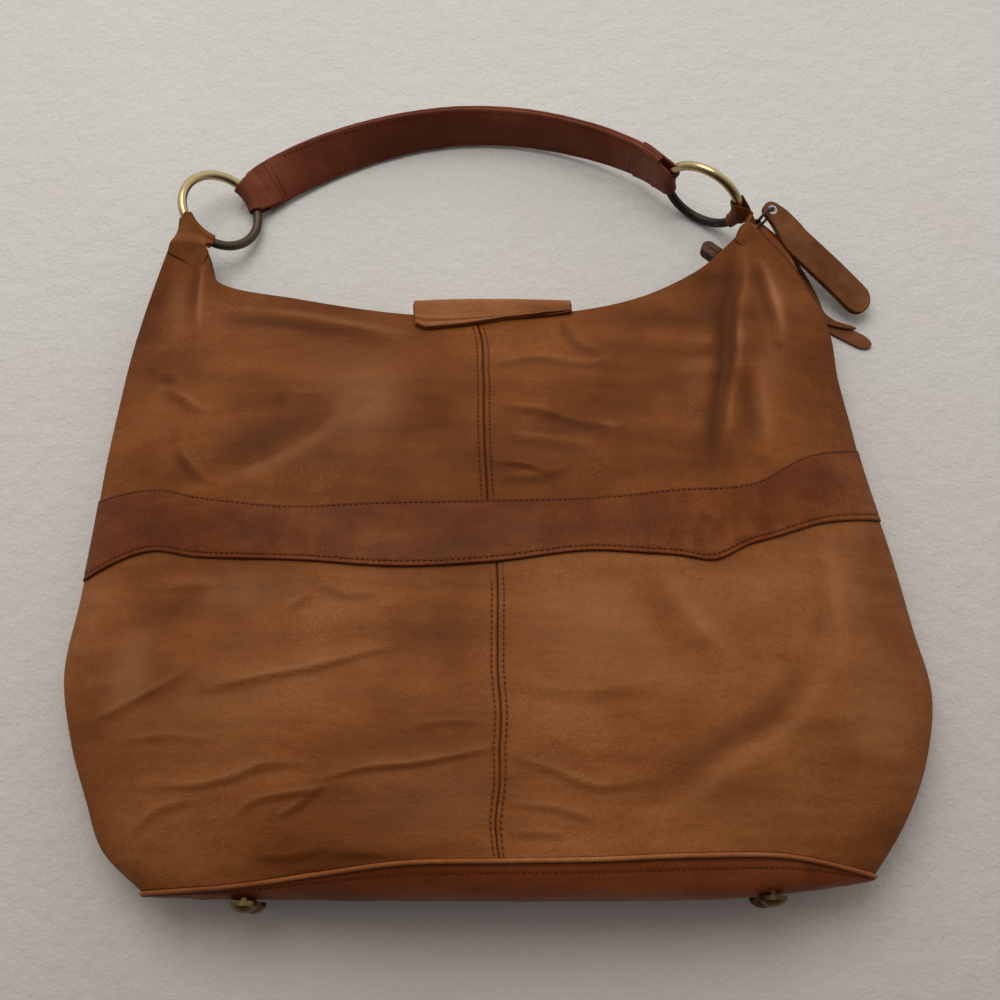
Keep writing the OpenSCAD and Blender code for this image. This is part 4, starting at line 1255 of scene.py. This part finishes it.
end_steps = 1 - np.cos(np.linspace(0, np.pi / 2, 9))
first, last = -TONGUE_START, TONGUE_L - TONGUE_START + STRETCH
along_tongue = np.concatenate([first + TONGUE_START * end_steps, np.linspace(2, last - TONGUE_W / 2 - 1, 30),
                               (last - TONGUE_W / 2 * end_steps)[::-1]])
side_ticks = ticks(TONGUE_W, 1.4, rim=0.8)
for name, lowest in (("upper", SEWN / 2), ("lower", -TONGUE_T - SEWN / 2)):
    x, q = np.meshgrid(along_tongue, side_ticks / TONGUE_W * 2 - 1, indexing="ij")
    y = q * tongue_half(x) * (1 if name == "upper" else 1.03)
    curl = 0.5 * np.sin(x / 21) * ease((x - 6) / 14)
    curl = curl + 0.25 * (noise(x / 9, y / 6, 20) - 0.5) * ease((x - 6) / 6)
    face = tongue_points(x, y, lowest + TONGUE_T + curl)
    points, faces, shade = sheet_mesh(face, -tongue_axes[2], TONGUE_T, along_tongue, side_ticks,
                                      0.8 * (noise(x / 7, y / 5, 21) - 0.5))
    tongue = piece(f"fob_tongue_{name}_leather", points, faces, TAG_MAT, "tag_leather", shade)
    cut_hole(tongue, eyelet_at, tongue_axes[2], EYELET_OUT)
    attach(tongue, "tongue")
    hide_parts(f"fob_tongue_{name}")

STRIP_GAP, STRIP_REST = TONGUE_T + 0.5, TONGUE_T / 2 + 0.3
strips = []
for reach, lift, width, tip in ((29, 0, 8.4, 0.05), (20, STRIP_GAP, 6.2, 0.4)):
    ax, ay, _ = jump_at
    stations = [jump_at + [0, 0, lift - JUMP_R - JUMP_WIRE / 2 - 0.3 - TONGUE_T / 2 - STRIP_GAP],
                jump_at + [9, -8, lift - 13], (ax + 19, ay - 20, STRIP_REST + lift + 3),
                (ax + 27, ay - 36, STRIP_REST + lift), (ax + 33, ay - 51, STRIP_REST + lift),
                (ax + 33 + reach * 0.84, ay - 51 - reach * (0.54 if lift == 0 else 0.3), STRIP_REST + lift)]
    f = np.concatenate([np.linspace(0, 0.9, 40), 0.9 + 0.1 * np.sin(np.linspace(0.1, np.pi / 2, 12))])
    path = curve(np.array(stations, float), f)
    d = unit(np.gradient(path, axis=0))
    across = unit(np.stack([-d[:, 1], d[:, 0], 0 * d[:, 0]], -1))
    taper = np.minimum(1, 0.4 + f * 1.2) * np.sqrt(np.clip((1.004 - f) / tip, 0.03, 1))
    outlines = np.array([section(width * k, TONGUE_T, 0.6) for k in taper])
    strips.append(sweep_mesh(path, across, np.cross(d, across), outlines))
points, faces = joined(strips)
strips = piece("fob_strips_leather", points, faces, TAG_MAT, "tag_leather",
               0.6 * (noise(points[:, 0] / 6, points[:, 1] / 6, 22) - 0.5))
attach(strips, "strips")
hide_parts("fob_strips")

LOOP_U, LOOP_TURN, LOOP_R, LOOP_T, LOOP_TALL = 0.74, 139, 1.95, 3.8, 7
a = np.radians(np.linspace(-90, 90, 17))
flat = np.concatenate([[(0.3, -LOOP_R), (2.6, -LOOP_R), (5, -LOOP_R)],
                       np.stack([7 + LOOP_R * np.cos(a), LOOP_R * np.sin(a)], -1),
                       [(5, LOOP_R), (2.6, LOOP_R), (0.3, LOOP_R)]])
path = turned(np.column_stack([flat, np.zeros(len(flat))]), (0, 0, LOOP_TURN))
x, y = plan(LOOP_U, 1.0)
path += np.array([x, y, back_z(LOOP_U, 1.0) - LEATHER - 4])
across, up = frame_along(path, np.tile([0, 0, 1.0], (len(path), 1)))
points, faces = sweep_mesh(path, across, up, np.array([section(LOOP_TALL, LOOP_T, 0.8)] * len(path)))
loop = piece("mouth_loop_webbing", points, faces, WEBBING_MAT, "loop_webbing")
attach(loop, "bag")
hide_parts("mouth_loop")


# ---------------------------------------------------------------- hard parts keep their solids
for node, material in (("ring_left", LEFT_SHADED_BRASS), ("ring_right", DARK_BRASS), ("foot_studs", STUD_BRASS),
                       ("snap_cap", BRASS), ("foot_washers", STEEL), ("snap_magnet", STEEL),
                       ("fob_eyelet", STEEL),
                       ("fob_jump_ring", DARK_METAL), ("base_board", BOARD_MAT)):
    dress(node, material)


# ---------------------------------------------------------------- floor, light and camera
def fleece():
    """Pale brushed fleece with a painted fall-off of light: a little brighter towards the handle."""
    n = Nodes("fleece")
    split = n.add("ShaderNodeSeparateXYZ")
    n.link(n.place, split.inputs["Vector"])
    # painted fall-off of light, darker towards the front
    painted_falloff = n.remap(split.outputs["Y"], -0.3, 0.2)
    colour = n.blend(painted_falloff, srgb(180, 168, 161), srgb(200, 198, 192))
    colour = n.blend(n.remap(n.noise(9, 3), 0.35, 0.65, 0, 0.3), colour, srgb(196, 184, 178))
    fibre = n.noise(520, 5, 0.75)
    colour = n.blend(n.remap(fibre, 0.4, 0.7, 0, 0.25), colour, srgb(168, 160, 154))
    tuft = n.noise(90, 4, 0.65)
    normal = n.bump(tuft, 0.0025, 0.6)
    return n.finish(colour, 0.95, n.bump(fibre, 0.0008, 0.6, normal), Specular_IOR_Level=0.05)


FLOOR_REACH = 3.0
floor = placed("floor", bpy.data.meshes.new("floor"))
corners = [(x * FLOOR_REACH, y * FLOOR_REACH, 0) for x, y in ((-1, -1), (1, -1), (1, 1), (-1, 1))]
floor.data.from_pydata(corners, [], [(0, 1, 2, 3)])
floor.data.materials.append(fleece())

world = bpy.data.worlds.new("room")
world.use_nodes = True
sky = world.node_tree
split = sky.nodes.new("ShaderNodeSeparateXYZ")
sky.links.new(sky.nodes.new("ShaderNodeTexCoord").outputs["Generated"], split.inputs["Vector"])
fade = sky.nodes.new("ShaderNodeMapRange")
fade.interpolation_type = "SMOOTHSTEP"
for key, value in (("From Min", -1), ("From Max", 1), ("To Min", 0.04), ("To Max", 1.2)):
    fade.inputs[key].default_value = value
sky.links.new(split.outputs["Y"], fade.inputs["Value"])
sky.links.new(fade.outputs["Result"], sky.nodes["Background"].inputs["Strength"])
sky.nodes["Background"].inputs["Color"].default_value = (1.0, 0.99, 0.97, 1)
bpy.context.scene.world = world


def lamp(name, place, aim, size, power):
    data = bpy.data.lights.new(name, "AREA")
    data.shape, data.size, data.energy = "DISK", size, power
    obj = placed(name, data)
    obj.location = place
    direction = np.array(aim) - np.array(place)
    obj.rotation_euler = (math.acos(-direction[2] / np.linalg.norm(direction)), 0,
                          math.atan2(direction[0], -direction[1]) + math.pi)


lamp("window", (-0.2, 0.58, 1.36), (0, 0, 0), 1.1, 11.3)

camera = placed("camera", bpy.data.cameras.new("camera"))
camera.location = (0, -0.2214, 0.5735)
camera.rotation_euler = (math.radians(20), 0, 0)
camera.data.sensor_width = 36
camera.data.lens = 18 / math.tan(math.radians(23))
bpy.context.scene.camera = camera
bpy.context.scene.view_settings.view_transform = "Standard"
